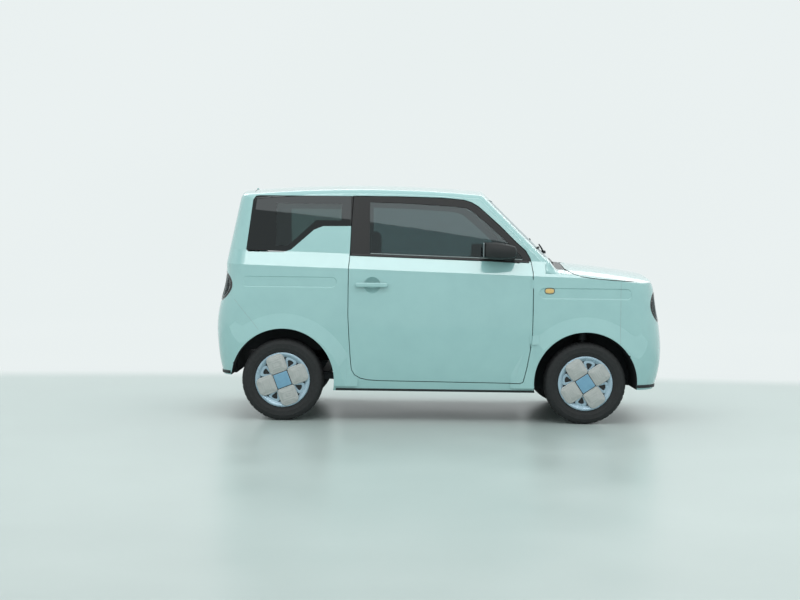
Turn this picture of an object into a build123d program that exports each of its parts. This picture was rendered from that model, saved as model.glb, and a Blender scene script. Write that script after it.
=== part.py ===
"""City car: a three-door electric hatchback as an assembly of real panels, glass, running gear and cabin.

Millimetres. +X is forward, +Y is the car's left, +Z is up. The origin is on the ground under the middle of the
car's length and width.
"""

from build123d import *
from math import atan2, cos, degrees, radians, sin, tan
import os

os.makedirs("parts", exist_ok=True)

# Overall size
LENGTH = 3065
HEIGHT = 1600
FRONT_END = LENGTH / 2
REAR_END = -LENGTH / 2

# Wheels and axles
WHEELBASE = 2015
FRONT_OVERHANG = 562.5
FRONT_AXLE_X = FRONT_END - FRONT_OVERHANG
REAR_AXLE_X = FRONT_AXLE_X - WHEELBASE
TYRE_RADIUS = 272
TYRE_WIDTH = 165
TRACK = 1305
WHEEL_Y = TRACK / 2
WHEEL_Z = TYRE_RADIUS
RIM_FLANGE_RADIUS = 182
SPINDLE_RADIUS = 22
RUNNING_CLEARANCE = 0.05

# Body shell
SIDE_HALF = 740
CREASE_Z = 1000
CREASE_HALF = 735
BELT_Z = 1098
BELT_HALF = 692
ROOF_RAIL_Z = 1515
ROOF_RAIL_HALF = 604
BELT_TILT = 1.6
SILL_BOTTOM = 205
FLARE_HALF = 761
FLARE_RADIUS = 500
ARCH_RADIUS = 343
ROOF_EDGE_RADIUS = 48

# Walls, glass and gaps
SIDE_WALL = 80
PILLAR_WALL = 42
GLASS = 5
GLASS_INSET = 4
DOOR_GAP = 5
LID_GAP = 5
CUT_DEPTH = 1000
DOOR_REACH = 617
DOOR_SHEAR = 12
FLOOR_TOP = 292
BOOT_FLOOR = 492


def plan_section(z, front, rear, half, bow_front, bow_rear, corner_front, corner_rear, tilt=0.0):
    """One horizontal slice of the car's outline, bowed across the nose and tail, on a plane tilted nose-down."""
    lean = radians(tilt)
    plane = Plane(origin=(0, 0, z), x_dir=(cos(lean), 0, -sin(lean)), z_dir=(sin(lean), 0, cos(lean)))
    with BuildSketch(plane) as section:
        with BuildLine():
            nose = ThreePointArc((front - bow_front, -half), (front, 0), (front - bow_front, half))
            left = Line(nose @ 1, (rear + bow_rear, half))
            tail = ThreePointArc(left @ 1, (rear, 0), (rear + bow_rear, -half))
            Line(tail @ 1, nose @ 0)
        make_face()
        fillet(section.vertices().group_by(Axis.X)[-1], corner_front)
        fillet(section.vertices().group_by(Axis.X)[0], corner_rear)
    return section.sketch


def side_prism(points, low=-CUT_DEPTH, high=CUT_DEPTH):
    """A cutter with a closed side-view outline (x, z), from y = low to y = high."""
    with BuildPart() as prism:
        with BuildSketch(Plane.XZ.offset(-high)):
            with BuildLine():
                Polyline(*points, close=True)
            make_face()
        extrude(amount=high - low)
    return prism.part


def plan_prism(points, low, high):
    """A cutter with a closed plan-view outline (x, y), from z = low to z = high."""
    with BuildPart() as prism:
        with BuildSketch(Plane.XY.offset(low)):
            with BuildLine():
                Polyline(*points, close=True)
            make_face()
        extrude(amount=high - low)
    return prism.part


def front_prism(points, low, high):
    """A cutter with a closed front-view outline (y, z), from x = low to x = high."""
    with BuildPart() as prism:
        with BuildSketch(Plane.YZ.offset(low)):
            with BuildLine():
                Polyline(*points, close=True)
            make_face()
        extrude(amount=high - low)
    return prism.part


def block(x0, x1, y0, y1, z0, z1):
    """A plain box between the given limits."""
    return Pos((x0 + x1) / 2, (y0 + y1) / 2, (z0 + z1) / 2) * Box(x1 - x0, y1 - y0, z1 - z0, mode=Mode.PRIVATE)


def rod(start, end, radius):
    """A round bar between two points."""
    along = Vector(*end) - Vector(*start)
    upright = (Align.CENTER, Align.CENTER, Align.MIN)
    return Plane(origin=start, z_dir=along) * Cylinder(radius, along.length, align=upright, mode=Mode.PRIVATE)


def cross_disc(x, z, radius, y0, y1):
    """A round bar across the car, along Y."""
    return rod((x, y0, z), (x, y1, z), radius)


def crowned_block(apex_x, top, long_radius, crown_radius, half_width, depth):
    """A block whose top is curved along and across the car, with its highest point at apex_x."""
    sweep_angle = 44
    with BuildPart() as block:
        with BuildSketch(Plane.YZ.offset(apex_x)):
            with BuildLine():
                drop = crown_radius - (crown_radius**2 - half_width**2) ** 0.5
                crown = ThreePointArc((-half_width, top - drop), (0, top), (half_width, top - drop))
                Polyline(crown @ 1, (half_width, top - depth), (-half_width, top - depth), crown @ 0)
            make_face()
        revolve(axis=Axis((apex_x, 0, top - long_radius), (0, 1, 0)), revolution_arc=sweep_angle)
    return block.part.rotate(Axis((apex_x, 0, top - long_radius), (0, 1, 0)), -sweep_angle / 2)


# Outer form: the lower body is one smooth loft through level slices, from the sill to the shoulder crease.
CREASE_SLICE = (CREASE_Z, 1448, -1470, CREASE_HALF, 56, 46, 205, 165)
LOWER_SLICES = [
    (195, 1468, -1440, 712, 60, 50, 190, 170),
    (320, 1510, -1490, 728, 60, 50, 210, 190),
    (500, FRONT_END - 0.5, -1524, 737, 60, 50, 230, 210),
    (660, 1516, -1529, SIDE_HALF, 60, 50, 230, 210),
    (840, 1486, -1494, 739, 58, 48, 222, 188),
]
with BuildPart() as lower_body:
    for slice_sizes in LOWER_SLICES:
        add(plan_section(*slice_sizes))
    add(plan_section(*CREASE_SLICE, tilt=BELT_TILT))
    loft()

# The shoulder leans inwards from the crease to the belt line.
BELT_SLICE = (BELT_Z, 1352, -1454, BELT_HALF, 56, 46, 185, 150)
with BuildPart() as shoulder:
    add(plan_section(*CREASE_SLICE, tilt=BELT_TILT))
    add(plan_section(*BELT_SLICE, tilt=BELT_TILT))
    loft(ruled=True)

# The bonnet is crowned both ways and meets the wings at the shutline.
BONNET_APEX_X = 500
BONNET_TOP = 1086
with BuildPart() as bonnet_limit:
    add(crowned_block(BONNET_APEX_X, BONNET_TOP, 5400, 3300, 900, 1400))
    add(side_prism([(-1700, 100), (700, 100), (700, 1200), (-1700, 1200)]))
with BuildPart() as lower_form:
    add(lower_body.part)
    add(shoulder.part)
    add(bonnet_limit.part, mode=Mode.INTERSECT)

# The cabin has flat-sided glasshouse walls that lean in to the roof rails.
with BuildPart() as cabin_form:
    add(plan_section(BELT_Z, 806, -1454, BELT_HALF, 96, 46, 68, 150, tilt=BELT_TILT))
    add(plan_section(ROOF_RAIL_Z, 352, -1380, ROOF_RAIL_HALF, 80, 44, 60, 118))
    add(plan_section(1640, 213, -1356, 577, 75, 43, 60, 108))
    loft(ruled=True)
    add(crowned_block(-450, HEIGHT, 9000, 3200, 900, 900), mode=Mode.INTERSECT)
    roof_skin = cabin_form.faces().sort_by(Axis.Z)[-1]
    fillet(roof_skin.edges(), ROOF_EDGE_RADIUS)

# The flares are shallow cones about each axle, kept inside a slightly wider copy of the lower body.
with BuildPart() as flare_limit:
    for z, front, rear, half, *rest in LOWER_SLICES:
        add(plan_section(z, front - 2, rear + 2, half + FLARE_HALF - SIDE_HALF, *rest))
    loft()
fade = [(-1700, FLARE_HALF + 9), (-700, FLARE_HALF), (-DOOR_REACH, SIDE_HALF - 3), (DOOR_REACH, SIDE_HALF - 3)]
fade += [(700, FLARE_HALF), (1700, FLARE_HALF + 9)]
flare_fade = plan_prism(fade + [(1700, 0), (-1700, 0)], SILL_BOTTOM + 30, 1100)


def flare(axle_x):
    """The left flare over one wheel."""
    with BuildPart() as cone:
        with BuildSketch(Plane.XY.offset(WHEEL_Z)):
            with BuildLine():
                rim_edge = (axle_x + ARCH_RADIUS, FLARE_HALF)
                foot = (axle_x + FLARE_RADIUS, SIDE_HALF - 12)
                Polyline((axle_x, 600), (foot[0], 600), foot, rim_edge, (axle_x, FLARE_HALF), close=True)
            make_face()
        revolve(axis=Axis((axle_x, 0, WHEEL_Z), (0, 1, 0)))
    return cone.part & flare_fade & flare_limit.part


left_flares = flare(FRONT_AXLE_X) + flare(REAR_AXLE_X)
with BuildPart() as left_form:
    add(lower_form.part)
    add(cabin_form.part)
    add(left_flares)
    split(bisect_by=Plane.XZ, keep=Keep.BOTTOM)
with BuildPart() as outer_form:
    add(left_form.part)
    add(mirror(left_form.part, about=Plane.XZ))

# Hollows: the cabin with its load space, the bay under the bonnet, and the four wheel wells.
with BuildPart() as lower_inner:
    for z, front, rear, half, bow_front, bow_rear, corner_front, corner_rear in LOWER_SLICES:
        add(plan_section(z, front - 100, rear + 72, half - SIDE_WALL, bow_front, bow_rear, 120, 110))
    loft()
with BuildPart() as shoulder_inner:
    add(plan_section(840, 1386, -1422, 659, 58, 48, 120, 110))
    add(plan_section(CREASE_Z, 1352, -1398, 656, 56, 46, 115, 108, tilt=BELT_TILT))
    add(plan_section(BELT_Z + 4, 1290, -1386, 636, 56, 46, 105, 100, tilt=BELT_TILT))
    loft(ruled=True)
with BuildPart() as roof_inner:
    add(plan_section(BELT_Z - 4, 722, -1386, 637, 96, 46, 40, 100, tilt=BELT_TILT))
    add(plan_section(ROOF_RAIL_Z, 292, -1330, ROOF_RAIL_HALF - PILLAR_WALL, 80, 44, 40, 90))
    add(plan_section(1640, 153, -1306, 577 - PILLAR_WALL, 75, 43, 40, 80))
    loft(ruled=True)
    add(crowned_block(-450, HEIGHT - 36, 9000, 3200, 900, 900), mode=Mode.INTERSECT)

CABIN_SIDE = [(-1470, BOOT_FLOOR), (-650, BOOT_FLOOR), (-650, FLOOR_TOP), (520, FLOOR_TOP), (578, 360), (578, 690)]
CABIN_SIDE += [(735, 760), (735, 1200), (-1470, 1200)]
BAY_SIDE = [(640, 100), (640, 660), (800, 725), (800, 1300), (1600, 1300), (1600, 640), (1390, 640), (1390, 100)]
with BuildPart() as cabin_hollow:
    add(lower_inner.part)
    split(bisect_by=Plane.XY.offset(845), keep=Keep.BOTTOM)
    add(shoulder_inner.part)
    add(side_prism(CABIN_SIDE), mode=Mode.INTERSECT)
    for side in (-1, 1):
        add(cross_disc(REAR_AXLE_X, WHEEL_Z, ARCH_RADIUS + 20, side * 520, side * 800), mode=Mode.SUBTRACT)
    add(roof_inner.part)
with BuildPart() as bay_hollow:
    add(lower_inner.part)
    split(bisect_by=Plane.XY.offset(845), keep=Keep.BOTTOM)
    add(shoulder_inner.part)
    add(crowned_block(BONNET_APEX_X, BONNET_TOP - 32, 5400, 3300, 900, 1400), mode=Mode.INTERSECT)
    add(block(600, 1700, -1000, 1000, 642, 1300), mode=Mode.INTERSECT)
    add(block(600, 1390, -385, 385, 100, 700))
    add(side_prism(BAY_SIDE), mode=Mode.INTERSECT)
with BuildPart() as wheel_wells:
    for side in (-1, 1):
        add(cross_disc(FRONT_AXLE_X, WHEEL_Z, ARCH_RADIUS, side * 403, side * 900))
        add(cross_disc(REAR_AXLE_X, WHEEL_Z, ARCH_RADIUS, side * 540, side * 900))
UNDERSIDE = [(-1700, 0), (-1700, 300), (-1350, 300), (-1100, 262), (-1100, SILL_BOTTOM), (900, SILL_BOTTOM)]
UNDERSIDE += [(900, 235), (1700, 235), (1700, 0)]
with BuildPart() as underside:
    add(side_prism(UNDERSIDE))
    add(block(-600, 580, -590, 590, 100, FLOOR_TOP - 30))
    add(block(-1370, -620, -540, 540, 100, BOOT_FLOOR - 32))
with BuildPart() as shell:
    add(outer_form.part)
    add([cabin_hollow.part, bay_hollow.part, wheel_wells.part, underside.part], mode=Mode.SUBTRACT)


def skin_half(z):
    """Half-width of the body's skin at a height, near the doors."""
    if z < CREASE_Z:
        return SIDE_HALF
    if z < BELT_Z:
        return CREASE_HALF + (BELT_HALF - CREASE_HALF) * (z - CREASE_Z) / (BELT_Z - CREASE_Z)
    return BELT_HALF + (ROOF_RAIL_HALF - BELT_HALF) * (z - BELT_Z) / (ROOF_RAIL_Z - BELT_Z)


def sheared_prism(points, grow):
    """A cutter for the right side that leans forward as it goes inboard, so a door's rear edge swings clear."""
    lean = tan(radians(DOOR_SHEAR))
    start = 800.0
    shifted = [(x - (start - skin_half(z)) * lean, z) for x, z in points]
    with BuildPart() as prism:
        with BuildSketch(Plane.XZ.offset(start)):
            with BuildLine():
                Polyline(*shifted, close=True)
            make_face()
            offset(amount=grow, kind=Kind.INTERSECTION, mode=Mode.REPLACE)
        extrude(amount=400 / cos(radians(DOOR_SHEAR)), dir=(sin(radians(DOOR_SHEAR)), cos(radians(DOOR_SHEAR)), 0))
    return prism.part


def inner_wall_cut(grow):
    """The right side's door thickness seen from the front: everything outboard of the trim line."""
    wall = [(-900, 150), (-650 + grow, 150), (-650 + grow, 400), (-656 + grow, 900), (-650 + grow, 1010)]
    wall += [(-628 + grow, 1110), (-556 + grow, 1520), (-540 + grow, 1560), (-900, 1560)]
    return front_prism(wall, -700, 700)


# Door outline in the side view, from the rear top corner down, along the sill and up the windscreen pillar.
DOOR_OUTLINE = [(-592, 1505), (-603, 1300), (-610, 1080), (-617, 700), (-608, 550), (-598, 400), (-590, 345)]
DOOR_OUTLINE += [(-570, 310), (-535, 288), (-480, 276), (-400, 272), (530, 265), (556, 275), (580, 370), (600, 480)]
DOOR_OUTLINE += [(614.5, 590), (DOOR_REACH, 750), (616, 900), (613, 1000), (605, 1050), (594, 1102), (565, 1152)]
DOOR_OUTLINE += [(500, 1210), (400, 1310), (300, 1400), (250, 1444), (205, 1470), (150, 1488), (0, 1500), (-300, 1505)]
GLASS_OUTLINE = [(-478, 1462), (-478, 1102), (300, 1078), (520, 1066), (552, 1082), (530, 1118), (400, 1245), (300, 1333)]
GLASS_OUTLINE += [(250, 1375), (205, 1412), (165, 1430), (100, 1440), (-200, 1456)]
QUARTER_OUTLINE = [(-1285, 1122), (-1298, 1136), (-1262, 1470), (-1244, 1496), (-1220, 1500), (-606, 1502), (-606, 1300)]
QUARTER_OUTLINE += [(-790, 1297), (-850, 1272), (-950, 1182), (-1000, 1138), (-1050, 1121)]

# Door hinge line: upright, just under the skin at the front edge.
HINGE_X = 606
HINGE_Y = SIDE_HALF - 9
HINGE_PIN = 5
HINGE_HEIGHTS = (560, 930)
HINGE_NOTCH = 60
nose_reach = DOOR_REACH - DOOR_GAP - HINGE_X + 2
with BuildPart() as hinge_rounding:
    add(block(HINGE_X, HINGE_X + 60, -HINGE_Y - 80, -HINGE_Y, 200, 1120))
    add(rod((HINGE_X, -HINGE_Y, 200), (HINGE_X, -HINGE_Y, 1120), nose_reach), mode=Mode.SUBTRACT)
with BuildPart() as hinge_notches:
    for z in HINGE_HEIGHTS:
        add(block(HINGE_X - 14, HINGE_X + 60, -SIDE_HALF - 40, 22 - HINGE_Y, z - HINGE_NOTCH / 2, z + HINGE_NOTCH / 2))
# Below the lower hinge the door's front edge is undercut behind its skin, so that it turns past the door post.
with BuildPart() as hinge_undercut:
    low = HINGE_HEIGHTS[0] - HINGE_NOTCH / 2
    add(rod((HINGE_X, -HINGE_Y, low - 67), (HINGE_X, -HINGE_Y, low + 1), 11))
    add(rod((HINGE_X, -HINGE_Y, low - 95), (HINGE_X, -HINGE_Y, low - 66), 13.8))
with BuildPart() as hinge_bores:
    for z in HINGE_HEIGHTS:
        reach = HINGE_NOTCH / 2 + 16
        add(rod((HINGE_X, -HINGE_Y, z - reach), (HINGE_X, -HINGE_Y, z + reach), HINGE_PIN + RUNNING_CLEARANCE))

door_space = sheared_prism(DOOR_OUTLINE, 0) & inner_wall_cut(DOOR_GAP)
door_block = sheared_prism(DOOR_OUTLINE, -DOOR_GAP) & inner_wall_cut(0)
window_cut = side_prism(GLASS_OUTLINE, -1000, -400)
with BuildPart() as door_right:
    add(shell.part)
    add(door_block, mode=Mode.INTERSECT)
    add(window_cut, mode=Mode.SUBTRACT)
    add(hinge_rounding.part, mode=Mode.SUBTRACT)
    add(hinge_notches.part, mode=Mode.SUBTRACT)
    add(hinge_undercut.part, mode=Mode.SUBTRACT)
    add(hinge_bores.part, mode=Mode.SUBTRACT)

# Bonnet: a clamshell above the wing shutline.
BONNET_REAR_X = 836
SHUTLINE = [(BONNET_REAR_X, 1028), (880, 1000), (930, 981), (1000, 971), (1100, 962), (1200, 956), (1380, 947), (1700, 941)]
BONNET_HINGE_X = BONNET_REAR_X + 14
BONNET_HINGE_Z = 1065
bonnet_space = side_prism(SHUTLINE + [(1700, 1300), (BONNET_REAR_X, 1300)])
lid_line = [(x + LID_GAP, z + LID_GAP) if x < 870 else (x, z + LID_GAP) for x, z in SHUTLINE]
bonnet_block = side_prism(lid_line + [(1700, 1290), (BONNET_REAR_X + LID_GAP, 1290)])
with BuildPart() as bonnet:
    add(shell.part)
    add(bonnet_block, mode=Mode.INTERSECT)

# Tailgate: the middle of the tail from the roof to above the rear bumper.
TAILGATE_TOP_X = -1262
TAILGATE_FOOT_Z = 612
TAILGATE_OUTLINE = [(-475, TAILGATE_FOOT_Z), (475, TAILGATE_FOOT_Z), (500, 760), (500, 1000), (478, 1300), (450, 1700)]
TAILGATE_OUTLINE += [(-450, 1700), (-478, 1300), (-500, 1000), (-500, 760)]
TAILGATE_SIDE = [(-1700, 500), (-1700, 1700), (TAILGATE_TOP_X, 1700), (TAILGATE_TOP_X, 1400), (-1300, 1200), (-1300, 500)]


def lid_outline(points, inset, foot):
    """The tailgate's outline pulled in by its gap, with its foot raised."""
    return [(y - inset if y > 0 else y + inset, max(z, foot)) for y, z in points]


tailgate_space = front_prism(TAILGATE_OUTLINE, -1700, -1200) & side_prism(TAILGATE_SIDE)
tailgate_block = front_prism(lid_outline(TAILGATE_OUTLINE, LID_GAP, TAILGATE_FOOT_Z + LID_GAP), -1700, -1200)
tailgate_block = tailgate_block & side_prism([(x - LID_GAP, z) for x, z in TAILGATE_SIDE])
with BuildPart() as tailgate:
    add(shell.part)
    add(tailgate_block, mode=Mode.INTERSECT)

# Windows in the fixed body: the windscreen and the two quarter glasses.
SCREEN_OUTLINE = [(-606, 1102), (606, 1102), (618, 1114), (540, 1470), (520, 1490), (-520, 1490), (-540, 1470), (-618, 1114)]
screen_cut = front_prism(SCREEN_OUTLINE, 180, 900)
quarter_cut = side_prism(QUARTER_OUTLINE, -1000, -400)
TAIL_GLASS_OUTLINE = [(-440, 1148), (440, 1148), (428, 1300), (404, 1480), (-404, 1480), (-428, 1300)]
tail_glass_cut = front_prism(TAIL_GLASS_OUTLINE, -1700, -1200)


def pane(window, dx, dy, dz):
    """A sheet of glass that fills a window opening, following the body's skin and set in by the given shift."""
    reach = (dx * dx + dy * dy + dz * dz) ** 0.5
    outer_shift = GLASS_INSET / reach
    inner_shift = (GLASS_INSET + GLASS) / reach
    with BuildPart() as sheet:
        add(window)
        add(cabin_form.part.moved(Location((dx * outer_shift, dy * outer_shift, dz * outer_shift))), mode=Mode.INTERSECT)
        add(cabin_form.part.moved(Location((dx * inner_shift, dy * inner_shift, dz * inner_shift))), mode=Mode.SUBTRACT)
    return max(sheet.part.solids(), key=lambda s: s.volume)


# Hinge parts that belong to the body: knuckles with pins for the doors, bonnet and tailgate.
with BuildPart() as door_knuckles:
    for z in HINGE_HEIGHTS:
        low, high = z - HINGE_NOTCH / 2 + 2, z + HINGE_NOTCH / 2 - 2
        add(rod((HINGE_X, -HINGE_Y, low), (HINGE_X, -HINGE_Y, high), 8))
        arm = [(HINGE_X - 4, -HINGE_Y - 4), (HINGE_X + 4, -HINGE_Y - 7), (HINGE_X + 46, 6 - HINGE_Y)]
        arm += [(HINGE_X + 46, 26 - HINGE_Y), (HINGE_X + 24, 26 - HINGE_Y), (HINGE_X + 24, 15 - HINGE_Y)]
        arm += [(HINGE_X - 4, 7 - HINGE_Y)]
        add(plan_prism(arm, low, high))
        add(rod((HINGE_X, -HINGE_Y, low - 16), (HINGE_X, -HINGE_Y, high + 16), HINGE_PIN))

BONNET_HINGE_Y = 150
LID_PIN = 5
with BuildPart() as bonnet_knuckles:
    for side in (-1, 1):
        y = side * BONNET_HINGE_Y
        add(rod((BONNET_HINGE_X, y - 20, BONNET_HINGE_Z), (BONNET_HINGE_X, y + 20, BONNET_HINGE_Z), 8))
        add(block(BONNET_REAR_X - 40, BONNET_HINGE_X, y - 20, y + 20, BONNET_HINGE_Z - 8, BONNET_HINGE_Z))
        add(rod((BONNET_HINGE_X, y - 34, BONNET_HINGE_Z), (BONNET_HINGE_X, y + 34, BONNET_HINGE_Z), LID_PIN))
with BuildPart() as bonnet_relief:
    for side in (-1, 1):
        y = side * BONNET_HINGE_Y
        add(block(BONNET_REAR_X - 60, BONNET_HINGE_X + 16, y - 22, y + 22, BONNET_HINGE_Z - 40, BONNET_HINGE_Z + 40))
        add(rod((BONNET_HINGE_X, y - 36, BONNET_HINGE_Z), (BONNET_HINGE_X, y + 36, BONNET_HINGE_Z), LID_PIN + RUNNING_CLEARANCE))
    rounding = block(BONNET_HINGE_X - 40, BONNET_HINGE_X, -800, 800, BONNET_HINGE_Z, BONNET_HINGE_Z + 40)
    add(rounding - rod((BONNET_HINGE_X, -800, BONNET_HINGE_Z), (BONNET_HINGE_X, 800, BONNET_HINGE_Z), 10))
with BuildPart() as bonnet_lid:
    add(bonnet.part)
    for side in (-1, 1):
        y = side * BONNET_HINGE_Y
        add(block(BONNET_HINGE_X - 8, BONNET_HINGE_X + 30, y - 36, y + 36, BONNET_HINGE_Z - 14, BONNET_HINGE_Z + 4))
    add(bonnet_relief.part, mode=Mode.SUBTRACT)

TAIL_HINGE_X = TAILGATE_TOP_X - 14
TAIL_HINGE_Z = 1558
TAIL_HINGE_Y = 150
with BuildPart() as tail_knuckles:
    for side in (-1, 1):
        y = side * TAIL_HINGE_Y
        add(rod((TAIL_HINGE_X, y - 20, TAIL_HINGE_Z), (TAIL_HINGE_X, y + 20, TAIL_HINGE_Z), 8))
        add(block(TAIL_HINGE_X, TAILGATE_TOP_X + 40, y - 20, y + 20, TAIL_HINGE_Z - 8, TAIL_HINGE_Z))
        add(rod((TAIL_HINGE_X, y - 34, TAIL_HINGE_Z), (TAIL_HINGE_X, y + 34, TAIL_HINGE_Z), LID_PIN))
with BuildPart() as tailgate_lid:
    add(tailgate.part)
    add(tail_glass_cut, mode=Mode.SUBTRACT)
    for side in (-1, 1):
        y = side * TAIL_HINGE_Y
        add(block(TAIL_HINGE_X - 16, TAIL_HINGE_X + 60, y - 22, y + 22, TAIL_HINGE_Z - 60, TAIL_HINGE_Z + 60), mode=Mode.SUBTRACT)
        bore = rod((TAIL_HINGE_X, y - 36, TAIL_HINGE_Z), (TAIL_HINGE_X, y + 36, TAIL_HINGE_Z), LID_PIN + RUNNING_CLEARANCE)
        add(bore, mode=Mode.SUBTRACT)
    rounding = block(TAIL_HINGE_X, TAIL_HINGE_X + 40, -800, 800, TAIL_HINGE_Z, TAIL_HINGE_Z + 60)
    rounding = rounding - rod((TAIL_HINGE_X, -800, TAIL_HINGE_Z), (TAIL_HINGE_X, 800, TAIL_HINGE_Z), 10)
    add(rounding, mode=Mode.SUBTRACT)

# Lamps: round pockets in the corners.
HEADLAMP = (560, 783, 112)
TAIL_LAMP = (600, 888, 98)


def lamp_disc(y, z, radius, x0, x1):
    """A round bar along the car."""
    return rod((x0, y, z), (x1, y, z), radius)


with BuildPart() as pockets:
    add(lamp_disc(-HEADLAMP[0], HEADLAMP[1], HEADLAMP[2], 1310, 1600))
    add(lamp_disc(-TAIL_LAMP[0], TAIL_LAMP[1], TAIL_LAMP[2], -1600, -1350))
nose_opening = block(1300, 1600, -400, 400, 268, 478)

# A shallow round-ended swage is pressed into the side behind the door and another in the wing.
SWAGES = [(-1012, 925, 645, 72), (962, 870, 615, 72)]
SWAGE_FLOOR = SIDE_HALF - 7
with BuildPart() as swages:
    with BuildSketch(Plane.XZ.offset(SWAGE_FLOOR)):
        for x, z, length, height in SWAGES:
            with Locations((x, z)):
                SlotOverall(length - 10, height - 10)
    extrude(amount=40, taper=-50)

with BuildPart() as fixed_shell:
    add(shell.part)
    right_cuts = [door_space, quarter_cut] + pockets.part.solids() + swages.part.solids()
    left_cuts = [mirror(cut, about=Plane.XZ, mode=Mode.PRIVATE) for cut in right_cuts]
    add(right_cuts + left_cuts + [bonnet_space, tailgate_space, screen_cut, nose_opening], mode=Mode.SUBTRACT)

# The fixed shell is shared out between real panels by regions that only touch.
FENDER_SIDE = [(618, 150), (1195, 150), (1195, 1300), (840, 1300), (840, 1045), (618, 1060)]
REAR_BUMPER_SIDE = [(-1700, 100), (-1180, 100), (-1180, 575), (-1200, 600), (-1375, 810), (-1700, 810)]
SIDE_FRAME_SIDE = [(-1180, 100), (618, 100), (618, 1060), (840, 1045), (840, 1700), (-1700, 1700), (-1700, 810)]
SIDE_FRAME_SIDE += [(-1375, 810), (-1200, 600), (-1180, 575)]
roof_box = block(-1500, 450, -530, 530, 1440, 1700)
cowl_box = block(640, BONNET_REAR_X, -600, 600, 985, 1200)
with BuildPart() as front_bumper:
    add(fixed_shell.part)
    add(block(1195, 1700, -900, 900, 100, 1200), mode=Mode.INTERSECT)
rear_bumper_region = side_prism(REAR_BUMPER_SIDE)
with BuildPart() as rear_bumper:
    add(fixed_shell.part)
    add(rear_bumper_region, mode=Mode.INTERSECT)
with BuildPart() as roof_panel:
    add(fixed_shell.part)
    add(roof_box, mode=Mode.INTERSECT)
    add(tail_knuckles.part)
with BuildPart() as cowl_panel:
    add(fixed_shell.part)
    add(cowl_box, mode=Mode.INTERSECT)
    add(bonnet_knuckles.part)
with BuildPart() as floor_pan:
    add(fixed_shell.part)
    add(block(-1180, 575, -600, 600, 100, 900), mode=Mode.INTERSECT)
with BuildPart() as front_structure:
    add(fixed_shell.part)
    add(block(575, 1195, -600, 600, 100, 985), mode=Mode.INTERSECT)
fender_region = side_prism(FENDER_SIDE, -1000, -600)
side_region = side_prism(SIDE_FRAME_SIDE, -1000, 0)
# Behind the wing's rear edge stands the door post, which carries the hinges.
POST_FACE = SIDE_HALF - 28
post_region = block(FENDER_SIDE[0][0], FENDER_SIDE[0][0] + 37, -POST_FACE, -600, 150, 1052)
with BuildPart() as hinge_relief:
    for z in HINGE_HEIGHTS:
        add(block(HINGE_X - 10, HINGE_X + 50, 3 - SIDE_HALF, 3 - POST_FACE, z - HINGE_NOTCH / 2, z + HINGE_NOTCH / 2))
with BuildPart() as fender_right:
    add(fixed_shell.part)
    add(fender_region, mode=Mode.INTERSECT)
    add([post_region, hinge_relief.part], mode=Mode.SUBTRACT)
with BuildPart() as side_frame_right:
    add(fixed_shell.part)
    add(side_region + post_region, mode=Mode.INTERSECT)
    add(block(-1180, 1195, -600, 600, 0, 985), mode=Mode.SUBTRACT)
    add(roof_box, mode=Mode.SUBTRACT)
    add(cowl_box, mode=Mode.SUBTRACT)
screen = pane(screen_cut, -0.665, 0, -0.747)
quarter_right = pane(quarter_cut, 0, 1, -0.2)
door_glass_right = pane(window_cut, 0, 1, -0.2)
tail_glass = pane(tail_glass_cut, 1, 0, -0.2)

# Mirror and handle, fixed to each door.
MIRROR_X = 385
MIRROR_Z = 1152
with BuildPart() as mirror_right:
    with Locations((MIRROR_X, -785, MIRROR_Z)):
        Box(205, 140, 128)
    fillet(mirror_right.edges().filter_by(Axis.Z), 44)
    chamfer(mirror_right.faces().sort_by(Axis.Z)[-1].edges() + mirror_right.faces().sort_by(Axis.Z)[0].edges(), 18)
    add(block(MIRROR_X + 10, MIRROR_X + 95, -730, -640, 1092, 1124))
    add(outer_form.part, mode=Mode.SUBTRACT)
HANDLE_X = -460
HANDLE_Z = 911
with BuildPart() as handle_dish:
    add(Pos(HANDLE_X + 5, -SIDE_HALF - 58, HANDLE_Z) * Sphere(82, mode=Mode.PRIVATE))
with BuildPart() as handle_right:
    with Locations((HANDLE_X, -SIDE_HALF - 10, HANDLE_Z)):
        Box(216, 44, 30)
    fillet(handle_right.edges().filter_by(Axis.Y), 14)
    fillet(handle_right.faces().sort_by(Axis.Y)[0].edges(), 8)
    with Locations((HANDLE_X + 5, -SIDE_HALF + 10, HANDLE_Z)):
        Box(150, 40, 60, mode=Mode.SUBTRACT)
    add(outer_form.part, mode=Mode.SUBTRACT)

# Wheels: a tyre, a pressed rim with its hub and a cover with four petals round a square.
HUB_BORE = SPINDLE_RADIUS + RUNNING_CLEARANCE
HUB_INNER = 20
DISC_FACE = -46
half_tread = TYRE_WIDTH / 2
with BuildPart() as tyre:
    with BuildSketch(Plane.XY):
        with BuildLine():
            side = [(RIM_FLANGE_RADIUS, 66), (TYRE_RADIUS - 32, half_tread), (TYRE_RADIUS, half_tread - 20)]
            Polyline(*side, *[(r, -y) for r, y in reversed(side)], close=True)
        make_face()
    revolve(axis=Axis.Y)
with BuildPart() as rim:
    with BuildSketch(Plane.XY):
        with BuildLine():
            barrel = [(RIM_FLANGE_RADIUS, 66), (RIM_FLANGE_RADIUS, -66), (RIM_FLANGE_RADIUS - 12, -66), (158, DISC_FACE - 4)]
            barrel += [(0, DISC_FACE - 4), (0, DISC_FACE + 8), (HUB_BORE, DISC_FACE + 8), (HUB_BORE, HUB_INNER)]
            barrel += [(46, HUB_INNER), (46, DISC_FACE + 8), (152, DISC_FACE + 8), (152, 40), (RIM_FLANGE_RADIUS - 12, 66)]
            Polyline(*barrel, close=True)
        make_face()
    revolve(axis=Axis.Y)
PETAL = 124
PETAL_RING = 112
COVER_BACK = -66
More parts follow.
